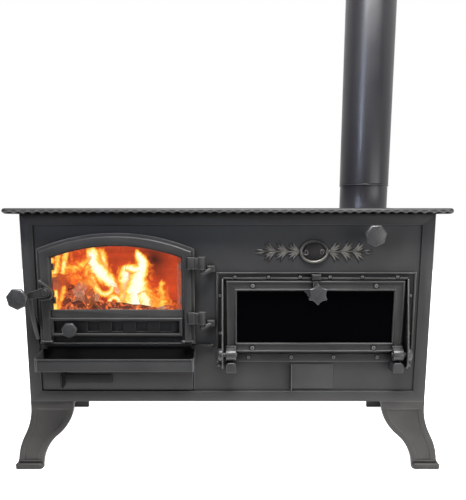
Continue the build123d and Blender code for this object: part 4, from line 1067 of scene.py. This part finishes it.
def charred(name, base, glow, strength, idle=0.03, grain=18.0):
    """Burning wood: bark or ash with glowing cracks, and an idle share of the glow between them."""
    finish = Finish(name)
    cracks = finish.spread(finish.noise(42.0, 6.0, 0.62, distortion=2.2), 0.54, 0.72, idle, 1.0)
    patches = finish.spread(finish.noise(grain, 4.0), 0.4, 0.7)
    paler = tuple(min(1.0, value * 2.2) for value in base[:3]) + (1,)
    finish.colour(finish.mix(patches, base, paler))
    finish.feed(finish.shader.inputs["Emission Color"], glow)
    finish.feed(finish.shader.inputs["Emission Strength"], finish.math("MULTIPLY", cracks, strength))
    finish.roughness(0.95)
    finish.normal(finish.bump(finish.noise(60.0, 5.0), 4 * MM, 0.8))
    return finish.material


def add_log(work, start, end, radius, seed):
    """Rough round log between two places."""
    run = end - start
    along = run.normalized()
    side = along.cross(Vector((0, 0, 1))).normalized()
    up = side.cross(along)
    steps = 18
    rings = []
    for index in range(steps + 1):
        middle = start + run * index / steps
        ring = []
        for angle in turn_angles(22):
            away = side * math.cos(angle) + up * math.sin(angle)
            rough = noise.noise((middle + away * radius) * 26 + Vector((seed, 0, 0)))
            ring.append(work.verts.new(middle + away * radius * (1 + 0.22 * rough)))
        rings.append(ring)
    join_rings(work, rings)


def add_lump(work, place, turn, size, seed):
    """Rough broken piece, added to a mesh."""
    made = bmesh.ops.create_icosphere(work, subdivisions=4, radius=1)
    for vert in made["verts"]:
        broad = noise.noise(vert.co * 1.4 + Vector((seed, 0, 0)))
        fine = noise.noise(vert.co * 5)
        vert.co *= 1 + 0.3 * broad + 0.16 * fine
    shape = Matrix.Diagonal((size[0], size[1], size[2], 1))
    bmesh.ops.transform(work, matrix=Matrix.Translation(place) @ turn @ shape, verts=made["verts"])


def inside_bricks(place, margin):
    """The place, kept at least this margin away from the inner faces of the side bricks."""
    keep = BRICK_THICK + margin
    return Vector((min(max(place.x, BRICKS_LOW.x + keep), BRICKS_HIGH.x - keep), place.y, place.z))


def ember_bed(works):
    """Broken charcoal, ash and embers, piled up toward the left, with one big ashy end of wood."""
    dice = random.Random(EMBER_SEED)
    pile_height, pile_middle, pile_width = PILE
    for _ in range(EMBER_COUNT):
        right = dice.uniform(*EMBER_RIGHT)
        pile = pile_height * math.exp(-((right - pile_middle) / pile_width) ** 2)
        up = dice.uniform(EMBER_LOW, EMBER_TOP + pile)
        place = behind_window(right, up, dice.uniform(*EMBER_DEPTH))
        tip = Matrix.Rotation(dice.uniform(0, math.pi), 4, "Y")
        turn = tip @ Matrix.Rotation(dice.uniform(-0.6, 0.6), 4, "Z")
        size = dice.uniform(*EMBER_SIZE) * MM
        shape = (size * dice.uniform(1.0, 2.4), size, size * dice.uniform(0.6, 1.0))
        place = inside_bricks(place, shape[0] / 2)
        work = dice.choices(works, EMBER_SHARES)[0]
        add_lump(work, place, turn, shape, place.x * 90)
    ash = works[1]
    for right, up, depth, size in ASHY_WOOD:
        shape = (size * MM, size * MM, size * 0.85 * MM)
        turn = Matrix.Rotation(up, 4, "Y")
        add_lump(ash, behind_window(right, up, depth), turn, shape, right)


def fire_piece(name, work, material):
    """Piece of the fire, which lies on the grate and stays with the body of the stove."""
    mesh = mesh_from(name, work)
    mesh.shade_smooth()
    mesh.materials.append(material)
    piece = add_object(name, mesh)
    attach(piece, body_of("grate"))


def make_fuel():
    """Logs, sticks and the bed of embers."""
    looks = {
        "fire_charcoal": charred("bark", (0.09, 0.025, 0.014, 1), (1.0, 0.16, 0.02, 1), 1.8),
        "fire_ash": charred("ash", (0.4, 0.24, 0.19, 1), (1.0, 0.42, 0.2, 1), 1.3, 0.12, 75.0),
        "fire_embers": charred("hot", (0.36, 0.08, 0.03, 1), (1.0, 0.26, 0.04, 1), 3.0),
    }
    works = [bmesh.new() for _ in looks]
    for seed, (low, high, radius) in LOGS.items():
        add_log(works[0], behind_window(*low), behind_window(*high), radius * MM, seed)
    for seed, (low, high, depth) in enumerate(STICKS):
        start, end = behind_window(*low, depth), behind_window(*high, depth + STICK_LEAN)
        add_log(works[2], start, end, STICK_RADIUS, seed)
    ember_bed(works)
    for (name, material), work in zip(looks.items(), works):
        fire_piece(name, work, material)


def make_flames():
    """Flames, the hot ones with a halo behind them."""
    work = bmesh.new()
    warmth = work.verts.layers.float.new("warmth")
    farther, cooler, wider = HALO
    for depth, heat, points in FLAMES.values():
        add_flame(work, warmth, points, depth, heat)
        if heat > HALO_HEAT:
            broad = [(right, up, half * wider) for right, up, half in points]
            add_flame(work, warmth, broad, depth + farther, cooler)
    fire_piece("fire_flames", work, flame_gas())


def light_fire():
    """Lights that throw the fire's glow on the bricks and don't show themselves."""
    for place, power, radius in FIRE_LIGHTS:
        data = bpy.data.lights.new("fire_glow", "POINT")
        data.energy = power
        data.color = FIRE_COLOUR
        data.shadow_soft_size = radius * MM
        glow = add_object("fire_glow", data)
        glow.location = behind_window(*place)
        glow.visible_camera = False
        glow.visible_glossy = False
        glow.visible_transmission = False


# ---- stage -----------------------------------------------------------
def make_floor():
    """Floor that stays white under the stove and fades to grey well in front of it."""
    bpy.ops.mesh.primitive_plane_add(size=FLOOR_SIZE)
    floor = bpy.context.object
    finish = Finish("studio_floor")
    near, far = FRONT_Y - FLOOR_AHEAD, FRONT_Y - FLOOR_FADED
    white = finish.spread(finish.axis("Y"), far, near)
    pale = finish.mix(finish.noise(0.7), grey(0.8), grey(0.84))
    finish.colour(finish.mix(white, grey(0.03), pale))
    finish.constants(Emission_Color=(1, 1, 1, 1))
    glow = finish.spread(white, 0.0, 1.0, FLOOR_GLOW_FADED, FLOOR_GLOW)
    finish.feed(finish.shader.inputs["Emission Strength"], glow)
    finish.roughness(0.9)
    floor.data.materials.append(finish.material)


def area_light(name, place, aim, size, power, colour, spread):
    """Rectangular light that looks from a place to its aim."""
    data = bpy.data.lights.new(name, "AREA")
    data.shape = "RECTANGLE"
    data.size, data.size_y = size
    data.energy = power
    data.color = colour
    data.spread = math.radians(spread)
    light = add_object(name, data)
    light.location = place
    light.rotation_euler = (Vector(aim) - Vector(place)).to_track_quat("-Z", "Y").to_euler()


def make_world():
    """White studio, darker toward the left front so that the black paint keeps its depth."""
    world = bpy.data.worlds.new("studio")
    bpy.context.scene.world = world
    world.use_nodes = True
    nodes, links = world.node_tree.nodes, world.node_tree.links
    sky = nodes.new("ShaderNodeTexCoord")
    along = nodes.new("ShaderNodeVectorMath")
    along.operation = "DOT_PRODUCT"
    along.inputs[1].default_value = BRIGHT_SIDE
    shade = nodes.new("ShaderNodeMapRange")
    links.new(sky.outputs["Generated"], along.inputs[0])
    links.new(along.outputs["Value"], shade.inputs["Value"])
    set_inputs(shade, From_Min=BRIGHT_FROM, From_Max=BRIGHT_TO, To_Min=FRONT_DIM, To_Max=1.0)
    background = nodes["Background"]
    set_inputs(background, Color=(1, 1, 1, 1))
    links.new(shade.outputs["Result"], background.inputs["Strength"])


def make_lights():
    for name, settings in AREA_LIGHTS.items():
        area_light(name, *settings)


def plain_view():
    """Show the colours as they are, without a film curve."""
    settings = bpy.context.scene.view_settings
    settings.view_transform = "Standard"
    settings.look = "None"


def make_camera():
    data = bpy.data.cameras.new("view")
    data.lens = CAMERA_LENS
    data.sensor_width = SENSOR_WIDTH
    data.shift_x, data.shift_y = CAMERA_SHIFT
    camera = add_object("view", data)
    camera.location = CAMERA_PLACE
    camera.rotation_euler = (math.radians(90 - CAMERA_PITCH), 0, 0)
    bpy.context.scene.camera = camera


finish_nodes()
plate_lip()
ornament()
screw_heads("oven_surround_screws")
screw_heads("oven_door_screws")
gasket_rope()
make_fuel()
make_flames()
light_fire()
make_floor()
plain_view()
make_world()
make_lights()
make_camera()
